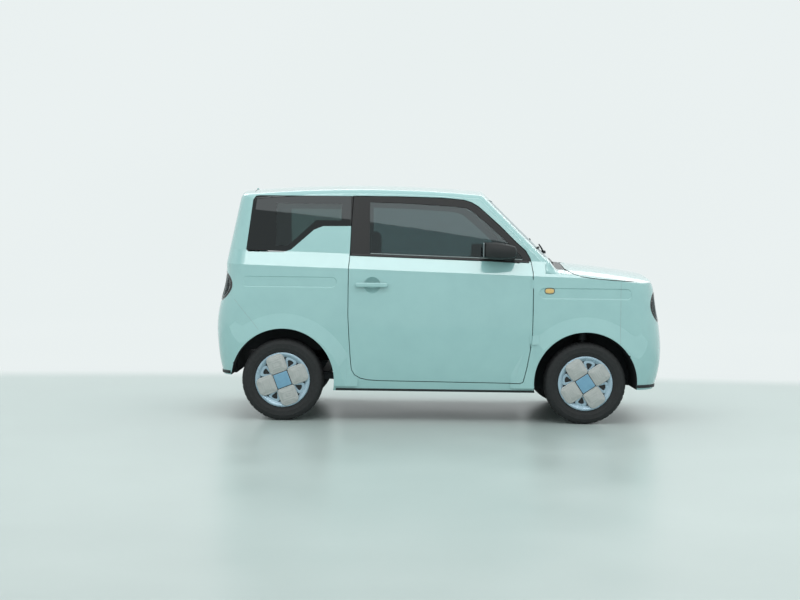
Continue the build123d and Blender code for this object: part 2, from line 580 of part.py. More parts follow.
with BuildPart() as cover:
    with BuildSketch(Plane.XZ.offset(-COVER_BACK)):
        Circle(RIM_FLANGE_RADIUS - 14)
        Circle(RIM_FLANGE_RADIUS - 26, mode=Mode.SUBTRACT)
    extrude(amount=7)
    with BuildSketch(Plane.XZ.offset(-COVER_BACK)):
        Circle(RIM_FLANGE_RADIUS - 20)
    extrude(amount=3)
    with BuildSketch(Plane.XZ.offset(3 - COVER_BACK)):
        with PolarLocations(PETAL_RING, 4):
            RectangleRounded(PETAL, PETAL, 30)
        Circle(RIM_FLANGE_RADIUS - 15, mode=Mode.INTERSECT)
    extrude(amount=6)
    with BuildSketch(Plane.XZ.offset(3 - COVER_BACK)):
        RectangleRounded(98, 98, 12)
    extrude(amount=9)
with BuildPart() as cover_plug:
    add(cover.part)
    with BuildSketch(Plane.XZ.offset(50)):
        Circle(52)
    extrude(amount=16)
wheel_places = {
    "fr": (FRONT_AXLE_X, -1, 34),
    "fl": (FRONT_AXLE_X, 1, 34),
    "rr": (REAR_AXLE_X, -1, 21),
    "rl": (REAR_AXLE_X, 1, 21),
}

# Front suspension on each side. The steering axis leans in from the ball joint to the strut's top mount.
BALL = (FRONT_AXLE_X, -606, 205)
STRUT_TOP = (FRONT_AXLE_X, -490, 800)
king = (Vector(*STRUT_TOP) - Vector(*BALL)).normalized()
SPINDLE_TIP = WHEEL_Y + 34
CARRIER_FACE = WHEEL_Y - 28
JOINT_RADIUS = 24
BALL_PIN = 9
TOP_PIN = 10
STRUT_FOOT = (FRONT_AXLE_X, -540, 385)
TOWER_RADIUS = 72
TOWER_Y = 500


def on_kingpin(z):
    """The point of the steering axis at a height."""
    share = (z - BALL[2]) / (STRUT_TOP[2] - BALL[2])
    return (BALL[0], BALL[1] + share * (STRUT_TOP[1] - BALL[1]), z)


joint_y = -on_kingpin(WHEEL_Z)[1]
with BuildPart() as knuckle_right:
    add(cross_disc(FRONT_AXLE_X, WHEEL_Z, 42, -CARRIER_FACE, -580))
    add(cross_disc(FRONT_AXLE_X, WHEEL_Z, SPINDLE_RADIUS, -SPINDLE_TIP, -CARRIER_FACE + 1))
    add(block(FRONT_AXLE_X - 20, FRONT_AXLE_X + 20, -CARRIER_FACE, -582, 212, 262))
    upright = [(-CARRIER_FACE, 262), (-CARRIER_FACE, 302), (-566, 410), (-520, 410), (-520, 364), (-574, 300), (-580, 262)]
    add(front_prism(upright, FRONT_AXLE_X - 20, FRONT_AXLE_X + 20))
    add(rod(STRUT_FOOT, (STRUT_FOOT[0], -520, 551), 21))
    add(rod(on_kingpin(190), on_kingpin(252), BALL_PIN + RUNNING_CLEARANCE), mode=Mode.SUBTRACT)
    add(Pos(FRONT_AXLE_X, -joint_y, WHEEL_Z) * Sphere(JOINT_RADIUS + 0.3, mode=Mode.PRIVATE), mode=Mode.SUBTRACT)
    add(cross_disc(FRONT_AXLE_X, WHEEL_Z, JOINT_RADIUS + 0.3, -joint_y, -560), mode=Mode.SUBTRACT)
with BuildPart() as strut_right:
    line = Vector(*STRUT_TOP) - Vector(*STRUT_FOOT)
    foot = Vector(*STRUT_FOOT)
    marks = [foot + line * share for share in (0.4, 0.425, 0.86, 0.885, 0.97)]
    add(rod(marks[0], marks[1], 48))
    add(rod(marks[1], marks[2], 40))
    add(rod(marks[2], marks[3], 48))
    add(rod(marks[3], marks[4], 12))
    add(rod(on_kingpin(776), on_kingpin(818), TOP_PIN))
    add(knuckle_right.part)

with BuildPart() as subframe:
    add(block(880, 1060, -385, 385, 186, 240))
    for side in (-1, 1):
        arm = [(885, side * 380), (1055, side * 380), (1002, side * 628), (938, side * 628)]
        add(plan_prism(arm, 186, 204))
    add(block(930, 1010, -500, -400, 150, 205), mode=Mode.SUBTRACT)
    add(block(930, 1010, 400, 500, 150, 205), mode=Mode.SUBTRACT)
    add(rod(on_kingpin(192), on_kingpin(248), BALL_PIN))
    add(mirror(rod(on_kingpin(192), on_kingpin(248), BALL_PIN), about=Plane.XZ))
with BuildPart() as drive_unit:
    add(block(850, 1110, -240, 240, 240, 560))
with BuildPart() as half_shafts:
    for side in (-1, 1):
        add(cross_disc(FRONT_AXLE_X, WHEEL_Z, 13, side * 240, side * joint_y))
        add(Pos(FRONT_AXLE_X, side * joint_y, WHEEL_Z) * Sphere(JOINT_RADIUS, mode=Mode.PRIVATE))
        add(cross_disc(FRONT_AXLE_X, WHEEL_Z, 32, side * 240, side * 300))
with BuildPart() as power_boxes:
    add(block(860, 1100, -260, 260, 560, 770))
    add(block(1130, 1290, 430, 600, 642, 812))
    add(block(1140, 1280, -590, -440, 642, 800))

# Rear suspension: trailing arms joined by a beam, coil seats, drum backs and spindles.
REAR_FLANGE = 562
with BuildPart() as rear_axle:
    add(block(-800, -745, -480, 480, 268, 312))
    for side in (-1, 1):
        low, high = sorted((side * 470, side * 515))
        add(block(-1090, -620, low, high, 262, 306))
        low, high = sorted((side * 512, side * REAR_FLANGE))
        add(block(-1090, -1000, low, high, 230, 314))
        add(cross_disc(REAR_AXLE_X, WHEEL_Z, 98, side * REAR_FLANGE, side * (CARRIER_FACE - 4)))
        add(cross_disc(REAR_AXLE_X, WHEEL_Z, SPINDLE_RADIUS, side * 600, side * SPINDLE_TIP))
with BuildPart() as rear_springs:
    for side in (-1, 1):
        add(rod((-930, side * 492, 306), (-930, side * 492, 460), 42))
with BuildPart() as battery_pack:
    add(block(-560, 520, -560, 560, SILL_BOTTOM, FLOOR_TOP - 30))

# Cabin: dashboard, wheel, two front seats and a rear bench.
SEAT_Y = 330
SEAT_HALF = 235
DASH = [(735, 775), (735, 1055), (650, 1068), (470, 1040), (428, 985), (448, 870), (560, 760), (690, 762)]
with BuildPart() as dashboard:
    add(side_prism(DASH, -636, 636))
WHEEL_TILT = 26
WHEEL_RIM_RADIUS = 180
with BuildPart() as steering_wheel:
    with BuildSketch(Plane(origin=(318, SEAT_Y, 985), x_dir=(0, 1, 0), z_dir=(-cos(radians(WHEEL_TILT)), 0, sin(radians(WHEEL_TILT))))) as hub:
        Circle(56)
        Rectangle(352, 34)
    extrude(amount=16)
    hub_plane = Plane(origin=(310, SEAT_Y, 989), x_dir=(0, 1, 0), z_dir=(-cos(radians(WHEEL_TILT)), 0, sin(radians(WHEEL_TILT))))
    with BuildSketch(Plane(origin=hub_plane.origin, x_dir=hub_plane.x_dir, z_dir=hub_plane.y_dir)) as grip:
        with Locations((WHEEL_RIM_RADIUS, 0)):
            RegularPolygon(14, 6)
    revolve(axis=Axis(hub_plane.origin, hub_plane.z_dir))
    add(rod((308, SEAT_Y, 990), (500, SEAT_Y, 896), 30))
    add(dashboard.part, mode=Mode.SUBTRACT)
with BuildPart() as seat_bases:
    for side in (-1, 1):
        y = side * SEAT_Y
        add(block(-270, 170, y - 200, y - 160, FLOOR_TOP, 330))
        add(block(-270, 170, y + 160, y + 200, FLOOR_TOP, 330))
        add(block(-250, 150, y - 205, y + 205, 330, 400))
with BuildPart() as front_seats:
    for side in (-1, 1):
        y = side * SEAT_Y
        cushion = [(-300, 400), (200, 400), (215, 440), (200, 510), (120, 520), (-260, 480)]
        rest = [(-260, 480), (-300, 400), (-330, 420), (-350, 500), (-470, 1060), (-440, 1085), (-390, 1080), (-262, 520)]
        head = [(-470, 1110), (-500, 1250), (-480, 1270), (-430, 1268), (-405, 1120), (-420, 1105)]
        add(side_prism(cushion, y - SEAT_HALF, y + SEAT_HALF))
        add(side_prism(rest, y - SEAT_HALF, y + SEAT_HALF))
        add(side_prism(head, y - 120, y + 120))
        for post in (-50, 50):
            add(rod((-425, y + post, 1060), (-448, y + post, 1150), 7))
with BuildPart() as rear_bench:
    add(side_prism([(-980, BOOT_FLOOR), (-660, BOOT_FLOOR), (-645, 560), (-660, 610), (-940, 590)], -500, 500))
    add(side_prism([(-980, BOOT_FLOOR), (-940, 590), (-1010, 920), (-1030, 940), (-1075, 930), (-1080, 900), (-1020, BOOT_FLOOR)], -500, 500))


def largest(shape, count=1):
    """The biggest solids of a shape, without the crumbs a cut can leave."""
    solids = sorted(shape.solids(), key=lambda s: s.volume, reverse=True)[:count]
    return Part() + solids if count > 1 else Part() + solids[0]


with BuildPart() as structure:
    add(front_structure.part)
    for side in (-1, 1):
        tower = (FRONT_AXLE_X, side * TOWER_Y)
        add(rod((*tower, 632), (*tower, 815), TOWER_RADIUS + 12))
        add(rod((*tower, 560), (*tower, 790), TOWER_RADIUS), mode=Mode.SUBTRACT)
        add(cross_disc(FRONT_AXLE_X, WHEEL_Z, 30, side * 380, side * 410), mode=Mode.SUBTRACT)
    top_bore = rod(on_kingpin(770), on_kingpin(830), TOP_PIN + RUNNING_CLEARANCE)
    add(top_bore, mode=Mode.SUBTRACT)
    add(mirror(top_bore, about=Plane.XZ), mode=Mode.SUBTRACT)

with BuildPart() as side_frame_hung:
    add(largest(side_frame_right.part))
    add(door_knuckles.part)
with BuildPart() as lamp_right:
    add(lamp_disc(-HEADLAMP[0], HEADLAMP[1], HEADLAMP[2], 1310, 1600))
    add(outer_form.part.moved(Location((-3, 0, 0))), mode=Mode.INTERSECT)
    add(lamp_disc(-HEADLAMP[0], HEADLAMP[1], HEADLAMP[2] - 14, 1330, 1600), mode=Mode.SUBTRACT)
with BuildPart() as tail_lamp_right:
    add(lamp_disc(-TAIL_LAMP[0], TAIL_LAMP[1], TAIL_LAMP[2], -1600, -1350))
    add(outer_form.part.moved(Location((3, 0, 0))), mode=Mode.INTERSECT)
    add(lamp_disc(-TAIL_LAMP[0], TAIL_LAMP[1], TAIL_LAMP[2] - 14, -1600, -1366), mode=Mode.SUBTRACT)
with BuildPart() as lens_right:
    add(lamp_disc(-HEADLAMP[0], HEADLAMP[1], HEADLAMP[2] - 14, 1310, 1600))
    add(outer_form.part.moved(Location((-5, 0, 0))), mode=Mode.INTERSECT)
    add(outer_form.part.moved(Location((-9, 0, 0))), mode=Mode.SUBTRACT)
with BuildPart() as tail_lens_right:
    add(lamp_disc(-TAIL_LAMP[0], TAIL_LAMP[1], TAIL_LAMP[2] - 14, -1600, -1350))
    add(outer_form.part.moved(Location((5, 0, 0))), mode=Mode.INTERSECT)
    add(outer_form.part.moved(Location((9, 0, 0))), mode=Mode.SUBTRACT)
with BuildPart() as grille:
    add(block(1300, 1600, -400, 400, 268, 478))
    add(outer_form.part.moved(Location((-14, 0, 0))), mode=Mode.INTERSECT)
    add(outer_form.part.moved(Location((-44, 0, 0))), mode=Mode.SUBTRACT)
    for row in range(5):
        z = 284 + row * 38
        add(block(1300, 1600, -384, 384, z, z + 26), mode=Mode.SUBTRACT)
    for post in (-140, 140):
        add(block(1460, 1500, post - 8, post + 8, 268, 478))

door_shell_right = largest(door_right.part - handle_dish.part) + handle_right.part


def both(shape):
    """A right-hand piece and its mirror image."""
    return shape + mirror(shape, about=Plane.XZ)


nodes = {
    "floor_pan": largest(floor_pan.part),
    "front_structure": largest(structure.part),
    "side_frame_right": side_frame_hung.part,
    "fender_right": largest(fender_right.part),
    "front_bumper": front_bumper.part,
    "rear_bumper": rear_bumper.part,
    "roof_panel": roof_panel.part,
    "cowl_panel": cowl_panel.part,
    "windscreen": screen,
    "quarter_glasses": both(quarter_right),
    "lamp_housings": both(largest(lamp_right.part)) + both(largest(tail_lamp_right.part)),
    "lamp_lenses": both(largest(lens_right.part)) + both(largest(tail_lens_right.part)),
    "grille": largest(grille.part),
    "dashboard": dashboard.part,
    "steering_wheel": steering_wheel.part,
    "seat_bases": seat_bases.part,
    "front_seats": front_seats.part,
    "rear_bench": rear_bench.part,
    "battery_pack": battery_pack.part,
    "drive_unit": drive_unit.part + half_shafts.part,
    "power_boxes": power_boxes.part,
    "rear_axle": rear_axle.part + rear_springs.part,
    "front_subframe": subframe.part,
    "door_right": door_shell_right,
    "door_glass_right": door_glass_right,
    "mirror_right": largest(mirror_right.part),
    "bonnet": largest(bonnet_lid.part),
    "tailgate": largest(tailgate_lid.part),
    "tailgate_glass": tail_glass,
    "upright_right": strut_right.part,
}
for name in list(nodes):
    if name.endswith("_right"):
        nodes[name.replace("_right", "_left")] = mirror(nodes[name], about=Plane.XZ)
for name, (x, side, turn) in wheel_places.items():
    place = Pos(x, side * WHEEL_Y, WHEEL_Z)
    wheel = rim.part + cover_plug.part.rotate(Axis.Y, turn)
    if side > 0:
        wheel = mirror(wheel, about=Plane.XZ)
    nodes["rim_" + name] = place * wheel
    nodes["tyre_" + name] = place * tyre.part
for name, part in nodes.items():
    part.label = name
    export_step(part, f"parts/{name}.step")
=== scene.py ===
"""Looks of the city car: materials, wheels, lamps, trim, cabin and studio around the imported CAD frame. Metres."""
import math
from functools import reduce

import bmesh
import bpy
from mathutils import Matrix, Quaternion, Vector
from mathutils.bvhtree import BVHTree


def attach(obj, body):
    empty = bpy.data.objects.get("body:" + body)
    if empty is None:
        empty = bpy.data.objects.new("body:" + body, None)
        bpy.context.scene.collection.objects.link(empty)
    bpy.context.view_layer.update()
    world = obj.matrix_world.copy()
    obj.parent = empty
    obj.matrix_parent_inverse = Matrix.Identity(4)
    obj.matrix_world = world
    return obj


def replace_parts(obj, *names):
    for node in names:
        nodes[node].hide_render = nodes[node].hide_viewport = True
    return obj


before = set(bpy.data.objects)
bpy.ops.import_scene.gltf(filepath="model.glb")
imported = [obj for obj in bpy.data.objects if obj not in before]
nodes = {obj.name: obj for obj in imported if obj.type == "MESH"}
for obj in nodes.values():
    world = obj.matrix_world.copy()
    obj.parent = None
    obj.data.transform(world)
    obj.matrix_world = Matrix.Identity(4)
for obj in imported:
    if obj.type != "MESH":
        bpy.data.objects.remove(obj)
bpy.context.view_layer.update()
scene = bpy.context.scene

SIDES = (("right", -1), ("left", 1))
FRONT_X, REAR_X = 0.970, -1.045
WHEEL_Y, WHEEL_Z = 0.6525, 0.272
# Where a wheel well ends: its radius about the axle, and its outer edge.
WELL_RADIUS, WELL_Y = 0.3455, 0.757
# The belt line and the crease below it fall towards the front. (y, z) of the right side, z at the middle of the car.
TILT = math.tan(math.radians(1.6))
CREASE_Y, CREASE_Z = -0.735, 1.000
BELT_Y, BELT_Z = -0.692, 1.098
RAIL_Y, RAIL_Z = -0.604, 1.515


# ---------------------------------------------------------------- materials
def linear(code):
    """A hex colour as linear RGBA."""
    vals = [int(code[i:i + 2], 16) / 255 for i in (0, 2, 4)]
    return (*[v / 12.92 if v <= 0.04045 else ((v + 0.055) / 1.055) ** 2.4 for v in vals], 1.0)


def brighter(colour, gain):
    """A linear colour times gain."""
    return tuple(min(1, c * gain) for c in colour[:3]) + (1,)


def set_sockets(node, values):
    """Sets a node's own sockets. An underscore stands for a space in a socket's name."""
    for key, value in values.items():
        node.inputs[key.replace("_", " ")].default_value = value


def add(tree, kind, operation=None, **values):
    """A new shader node with its sockets set."""
    node = tree.nodes.new("ShaderNode" + kind)
    if operation:
        node.operation = operation
    set_sockets(node, values)
    return node


def link(tree, source, output, target, socket):
    """Joins two nodes."""
    tree.links.new(source.outputs[output], target.inputs[socket])


def two_tones(tree, scale, first, second, detail=2, mix=1.0, space="Object"):
    """Nodes that wander between two colours: (noise, ramp)."""
    noise = add(tree, "TexNoise", Scale=scale, Detail=detail)
    link(tree, add(tree, "TexCoord"), space, noise, "Vector")
    ramp = add(tree, "ValToRGB")
    for end, share, colour in zip(ramp.color_ramp.elements, (-0.5, 0.5), (first, second)):
        end.position = 0.5 + share * mix
        end.color = colour
    link(tree, noise, "Fac", ramp, "Fac")
    return noise, ramp


def mix_shaders(tree, factor, first, second):
    """The material shows first where factor is 0 and second where it is 1."""
    mix = add(tree, "MixShader")
    for k, node in enumerate((factor, first, second)):
        link(tree, node, 0, mix, k)
    link(tree, mix, 0, tree.nodes["Material Output"], "Surface")


def material(name, first, second, rough, scale, bump=None, mix=0.5, rough_spread=0.06, **sockets):
    """A noise-driven finish: two close colours, uneven gloss and fine relief.

    bump is (strength, scale), and sockets are set on the shader itself.
    """
    mat = bpy.data.materials.new(name)
    mat.use_nodes = True
    tree = mat.node_tree
    shader = tree.nodes["Principled BSDF"]
    noise, ramp = two_tones(tree, scale, linear(first), linear(second), 4, mix)
    link(tree, ramp, "Color", shader, "Base Color")
    spread = add(tree, "MapRange", To_Min=max(0.0, rough - rough_spread / 2), To_Max=rough + rough_spread / 2)
    link(tree, noise, "Fac", spread, "Value")
    link(tree, spread, "Result", shader, "Roughness")
    if bump:
        fine = add(tree, "TexNoise", Scale=bump[1], Detail=3)
        link(tree, add(tree, "TexCoord"), "Object", fine, "Vector")
        relief = add(tree, "Bump", Strength=bump[0], Distance=0.001)
        link(tree, fine, "Fac", relief, "Height")
        link(tree, relief, "Normal", shader, "Normal")
    set_sockets(shader, sockets)
    return mat


def field(tree, areas):
    """A 0 or 1 mask over the object's own space: any area holds, and an area is half-spaces that all hold."""
    coord = add(tree, "TexCoord")

    def half_space(weights, threshold):
        dot = add(tree, "VectorMath", "DOT_PRODUCT")
        dot.inputs[1].default_value = weights
        link(tree, coord, "Object", dot, 0)
        step = add(tree, "Math", "GREATER_THAN")
        step.inputs[1].default_value = threshold
        link(tree, dot, "Value", step, 0)
        return step

    def joined(parts, operation):
        def pair(a, b):
            node = add(tree, "Math", operation)
            link(tree, a, 0, node, 0)
            link(tree, b, 0, node, 1)
            return node
        return reduce(pair, parts)

    return joined([joined([half_space(*rule) for rule in area_rules], "MULTIPLY") for area_rules in areas], "MAXIMUM")


def paint_with_black(name, rules):
    """Body paint that turns to satin black where rules, a list of (axis weights, threshold) half-spaces, all hold."""
    mat = MINT.copy()
    mat.name = name
    tree = mat.node_tree
    black = linear("0A0C0D")
    dark = add(tree, "BsdfPrincipled", Roughness=0.34)
    link(tree, two_tones(tree, 300, black, brighter(black, 1.5))[1], "Color", dark, "Base Color")
    mix_shaders(tree, field(tree, [rules]), tree.nodes["Principled BSDF"], dark)
    return mat


def glass(name, tint, strength, dark=None, areas=None):
    """Thin glass: part mirror, part see-through with a faint uneven tint. Outside areas its see-through colour is
    painted dark: a painted dark reflection.
    """
    mat = bpy.data.materials.new(name)
    mat.use_nodes = True
    tree = mat.node_tree
    tree.nodes.remove(tree.nodes["Principled BSDF"])
    _, colour = two_tones(tree, 3, linear(tint), brighter(linear(tint), 1.12))
    output = "Color"
    if areas:
        clear = add(tree, "Mix")
        clear.data_type = "RGBA"
        clear.inputs["A"].default_value = linear(dark)
        link(tree, field(tree, areas), 0, clear, "Factor")
        link(tree, colour, "Color", clear, "B")
        colour, output = clear, "Result"
    through = add(tree, "BsdfTransparent")
    link(tree, colour, output, through, "Color")
    shine = add(tree, "BsdfGlossy", Roughness=0.01, Color=(strength * 0.92, strength, strength * 1.02, 1))
    mix_shaders(tree, add(tree, "Fresnel", IOR=1.5), through, shine)
    return mat


MINT = material("mint_paint", "92BDBD", "98C3C2", 0.22, 9, (0.03, 900), mix=0.6, rough_spread=0.03,
                Coat_Weight=1.0, Coat_Roughness=0.03, Specular_IOR_Level=0.5)
UNDER = material("underseal", "14181A", "20262A", 0.8, 40, (0.5, 180))
BLACK = material("satin_black", "0B0D0E", "141718", 0.36, 120, (0.15, 700))
GRAIN = material("grained_black", "101314", "1B2022", 0.55, 150, (0.5, 520))
GLOSS = material("gloss_black", "060808", "0A0D0D", 0.08, 20, Coat_Weight=0.6, Coat_Roughness=0.02)
RUBBER = material("tyre_rubber_look", "17191A", "232627", 0.72, 70, (0.35, 420))
SEAL = material("seal_rubber", "0C0E0F", "15181A", 0.6, 160, (0.2, 500))
PETAL = material("petal_silver", "A8ADAB", "B4B8B6", 0.32, 30, (0.06, 900), Metallic=0.25)
RING = material("rim_blue_silver", "97B1C0", "AAC2CF", 0.28, 24, (0.05, 700), Metallic=0.45)
SQUARE = material("square_blue", "6F9DB8", "7BA8C1", 0.3, 30, (0.05, 700), Metallic=0.2)
STEEL = material("steel_dark", "2B2F31", "3A3F42", 0.5, 60, (0.25, 300), Metallic=0.7)
ALLOY = material("cast_alloy", "6F7678", "848B8D", 0.42, 50, (0.35, 260), Metallic=0.8)
CHROME = material("bright_reflector", "B9C0C3", "CBD1D3", 0.12, 40, (0.04, 400), Metallic=1.0)
SIGHT = material("mirror_glass", "8F9A9C", "A4AEB0", 0.04, 8, Metallic=1.0)
CASING = material("pack_casing_look", "3B4145", "4A5156", 0.5, 35, (0.3, 240), Metallic=0.4)
PLASTIC = material("cabin_plastic", "23282A", "2E3436", 0.62, 90, (0.45, 620))
PALE_PLASTIC = material("cabin_light", "B9C2C0", "C6CECC", 0.6, 90, (0.3, 620))
LINER = material("headlining", "8C9492", "A0A7A5", 0.9, 240, (0.6, 900))
CLOTH = material("seat_fabric", "2A2F31", "454C4F", 0.88, 420, (0.8, 1400), mix=0.3, Sheen_Weight=0.3)
CLOTH_PALE = material("seat_fabric_light", "7F8F90", "95A5A5", 0.85, 420, (0.8, 1400), mix=0.3, Sheen_Weight=0.3)
CARPET = material("carpet", "1B1E20", "2A2E30", 0.95, 500, (1.0, 1600))
AMBER = material("repeater_amber", "D9B36A", "E3C07C", 0.25, 60, (0.1, 500), Coat_Weight=0.5)
RED = material("tail_red", "7C1416", "8E1A1B", 0.18, 40, (0.08, 500), Coat_Weight=0.6)
WHITE = material("lamp_white", "D5DADB", "E2E6E6", 0.25, 60, (0.08, 500))
GREY_STRIP = material("belt_strip_grey", "7E8A8A", "8E9999", 0.4, 60, (0.08, 500))

TINTED = glass("tinted_glass", "A6B4B5", 1.0)
# The quarter window is clear in an upper band and in a slanted field towards its rear; elsewhere it is painted dark, a
# painted dark reflection.
QUARTER_PAINTED_REFLECTION = glass("quarter_glass", "A4B3B2", 1.0, "0C1213", [
    [((1, 0, 0), -1.103), ((-1, 0, 0), 0.668), ((0, 0, 1), 1.338), ((0, 0, -1), -1.448)],
    [((1, 0, 0), -1.103), ((0, 0, -1), -1.42), ((-0.68, 0, 0.73), 1.545), ((0, 0, 1), 1.165)]])
TAIL_TINT = glass("tail_glass", "8D9C9A", 1.0)
SCREEN = glass("windscreen_glass", "D3E0DD", 0.9)
LENS = glass("lens_glass", "F0F4F4", 0.5)

# The doors' window frames, the post behind the door and the middle of the cowl are black.
DOOR_PAINT = paint_with_black("door_paint", [((TILT, 0, 1), 1.0955)])
SIDE_PAINT = paint_with_black("side_paint", [((1, 0, 0), -0.640), ((-1, 0, 0), 0.570), ((0, 0, 1), 1.300),
                                             ((0, 0, -1), -1.5015)])
COWL_PAINT = paint_with_black("cowl_paint", [((0, 1, 0), -0.585), ((0, -1, 0), -0.585)])


# ---------------------------------------------------------------- mesh helpers
# A shape is (verts, faces) until make() turns it into a piece.
def make(name, shape, mat, slot, body="body", smooth=True, subsurf=0):
    """A new piece that rides on a body."""
    mesh = bpy.data.meshes.new(name)
    mesh.from_pydata([tuple(v) for v in shape[0]], [], shape[1])
    bm = bmesh.new()
    bm.from_mesh(mesh)
    bmesh.ops.recalc_face_normals(bm, faces=bm.faces[:])
    bm.to_mesh(mesh)
    bm.free()
    mesh.update()
    mesh.materials.append(mat)
    mesh.polygons.foreach_set("use_smooth", [smooth] * len(mesh.polygons))
    obj = bpy.data.objects.new(name, mesh)
    scene.collection.objects.link(obj)
    if subsurf:
        mod = obj.modifiers.new("round", "SUBSURF")
        mod.levels = mod.render_levels = subsurf
    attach(obj, body)
    return obj


def grid_faces(rows, cols, closed=True, loop=False, capped=False):
    """Quads of a rows by cols grid of points.

    closed joins the two ends of each row, loop the last row to the first, and capped fills the first and last row.
    """
    out = [(r * cols + c, r * cols + (c + 1) % cols, (r + 1) % rows * cols + (c + 1) % cols, (r + 1) % rows * cols + c)
           for r in range(rows if loop else rows - 1) for c in range(cols if closed else cols - 1)]
    if capped:
        out += [tuple(range(cols)), tuple(range((rows - 1) * cols, rows * cols))[::-1]]
    return out


def angles(n):
    """n angles round a circle."""
    return [2 * math.pi * s / n for s in range(n)]


def merged(shapes):
    """Several shapes as one."""
    verts, faces = [], []
    for v, f in shapes:
        base = len(verts)
        verts += list(v)
        faces += [tuple(i + base for i in face) for face in f]
    return verts, faces


def lathe(profile, segments=96, loop=False):
    """(radius, along) turned round the Y axis."""
    verts = [(r * math.cos(a), y, r * math.sin(a)) for r, y in profile for a in angles(segments)]
    return verts, grid_faces(len(profile), segments, loop=loop)


def disc_x(y, z, profile, segments=96):
    """(radius, x) turned round a line along X through (y, z)."""
    verts = [(x, y + r * math.cos(a), z + r * math.sin(a)) for r, x in profile for a in angles(segments)]
    return verts, grid_faces(len(profile), segments)


def tube(points, radius, sides=12, loop=False):
    """A round bar through points. radius is one number, or one for each point."""
    pts = [Vector(p) for p in points]
    n = len(pts)
    verts = []
    normal = None
    for i, p in enumerate(pts):
        ahead = pts[(i + 1) % n] if loop or i < n - 1 else p
        behind = pts[i - 1] if loop or i > 0 else p
        t = (ahead - behind).normalized()
        if normal is None:
            normal = t.orthogonal().normalized()
        normal = (normal - t * normal.dot(t)).normalized()
        other = t.cross(normal)
        r = radius[i] if hasattr(radius, "__len__") else radius
        verts += [p + normal * (r * math.cos(a)) + other * (r * math.sin(a)) for a in angles(sides)]
    return verts, grid_faces(n, sides, loop=loop, capped=not loop)


def cube_grid(cuts):
    """A bmesh cube from -1 to 1 with cuts cuts along each edge."""
    bm = bmesh.new()
    bmesh.ops.create_cube(bm, size=2)
    bmesh.ops.subdivide_edges(bm, edges=bm.edges[:], cuts=cuts, use_grid_fill=True)
    return bm


def shape_of(bm):
    """The shape of a bmesh, which is freed."""
    bm.verts.index_update()
    shape = [v.co.copy() for v in bm.verts], [[v.index for v in f.verts] for f in bm.faces]
    bm.free()
    return shape


def rounded_box(lo, hi, radius=0.01, steps=4):
    """A box with softly rounded corners and edges."""
    lo, hi = Vector(lo), Vector(hi)
    centre, half = (lo + hi) / 2, (hi - lo) / 2
    radius = min(radius, *half)
    bm = cube_grid(steps * 2 + 1)
    for v in bm.verts:
        core = Vector([c * (h - radius) for c, h in zip(v.co, half)])
        v.co = centre + core + v.co.normalized() * radius
    return shape_of(bm)


def rounded_outline(points, radius, steps):
    """A flat outline with each corner rounded."""
    out = []
    n = len(points)
    for i in range(n):
        p0, p1, p2 = (Vector((*points[(i + k) % n], 0)) for k in (-1, 0, 1))
        a, b = p0 - p1, p2 - p1
        r = min(radius, a.length * 0.45, b.length * 0.45)
        s, e = p1 + a.normalized() * r, p1 + b.normalized() * r
        for k in range(steps + 1):
            t = k / steps
            q = s * (1 - t) ** 2 + p1 * 2 * t * (1 - t) + e * t ** 2
            out.append((q.x, q.y))
    return out


def placed(shape, matrix):
    """A shape moved by a matrix."""
    return [matrix @ Vector(v) for v in shape[0]], shape[1]


def mirrored(shape):
    """A shape mirrored left to right."""
    return [(v[0], -v[1], v[2]) for v in shape[0]], [tuple(reversed(f)) for f in shape[1]]


def both_sides(name, shape, mat, slot, body="body", **options):
    """The same piece on the right and, mirrored, on the left."""
    return (make(name + "_right", shape, mat, slot, body, **options),
            make(name + "_left", mirrored(shape), mat, slot, body.replace("_right", "_left"), **options))


# ---------------------------------------------------------------- CAD nodes and their finishes
def tree_of(names):
    """A ray-casting tree of some CAD nodes."""
    return BVHTree.FromPolygons(*merged([([v.co.copy() for v in nodes[n].data.vertices],
                                          [p.vertices for p in nodes[n].data.polygons]) for n in names]))


everything = tree_of([n for n in nodes if not n.startswith(("tyre", "rim", "mirror"))])
skin = tree_of(["side_frame_right", "side_frame_left", "fender_right", "fender_left", "front_bumper", "rear_bumper",
                "roof_panel", "cowl_panel", "door_right", "door_left", "bonnet", "tailgate"])


def finish_panel(name, outside, inside, jamb=None, inward=None):
    """Finishes a panel face by face.

    Faces close in front of another piece are jambs, and those that face one further off are inside. Wheel wells and
    low faces take the underseal, and the rest is outside. Where inward is given, faces that look that way are inside.
    """
    obj = nodes[name]
    mesh = obj.data
    mesh.materials.clear()
    for m in (outside, inside, UNDER, jamb or outside):
        mesh.materials.append(m)
    OUTSIDE, INSIDE, BELOW, JAMB = range(4)
    index = []
    for p in mesh.polygons:
        c, n = p.center, p.normal
        hit = everything.ray_cast(c + n * 0.002, n, 1.1)
        near_axle = min(math.hypot(c.x - x, c.z - WHEEL_Z) for x in (FRONT_X, REAR_X))
        choice = OUTSIDE
        if (n.z < -0.75 and c.z < 0.32) or (near_axle < WELL_RADIUS and abs(c.y) < WELL_Y):
            choice = BELOW
        elif inward is not None:
            choice = INSIDE if n.dot(Vector(inward)) > 0.35 else OUTSIDE
        elif hit[0] is not None:
            choice = JAMB if hit[3] < 0.045 else INSIDE
        elif n.z < -0.6 and c.z < 0.6 and abs(c.y) < 0.62:
            choice = BELOW
        index.append(choice)
    mesh.polygons.foreach_set("material_index", index)
    mesh.update()


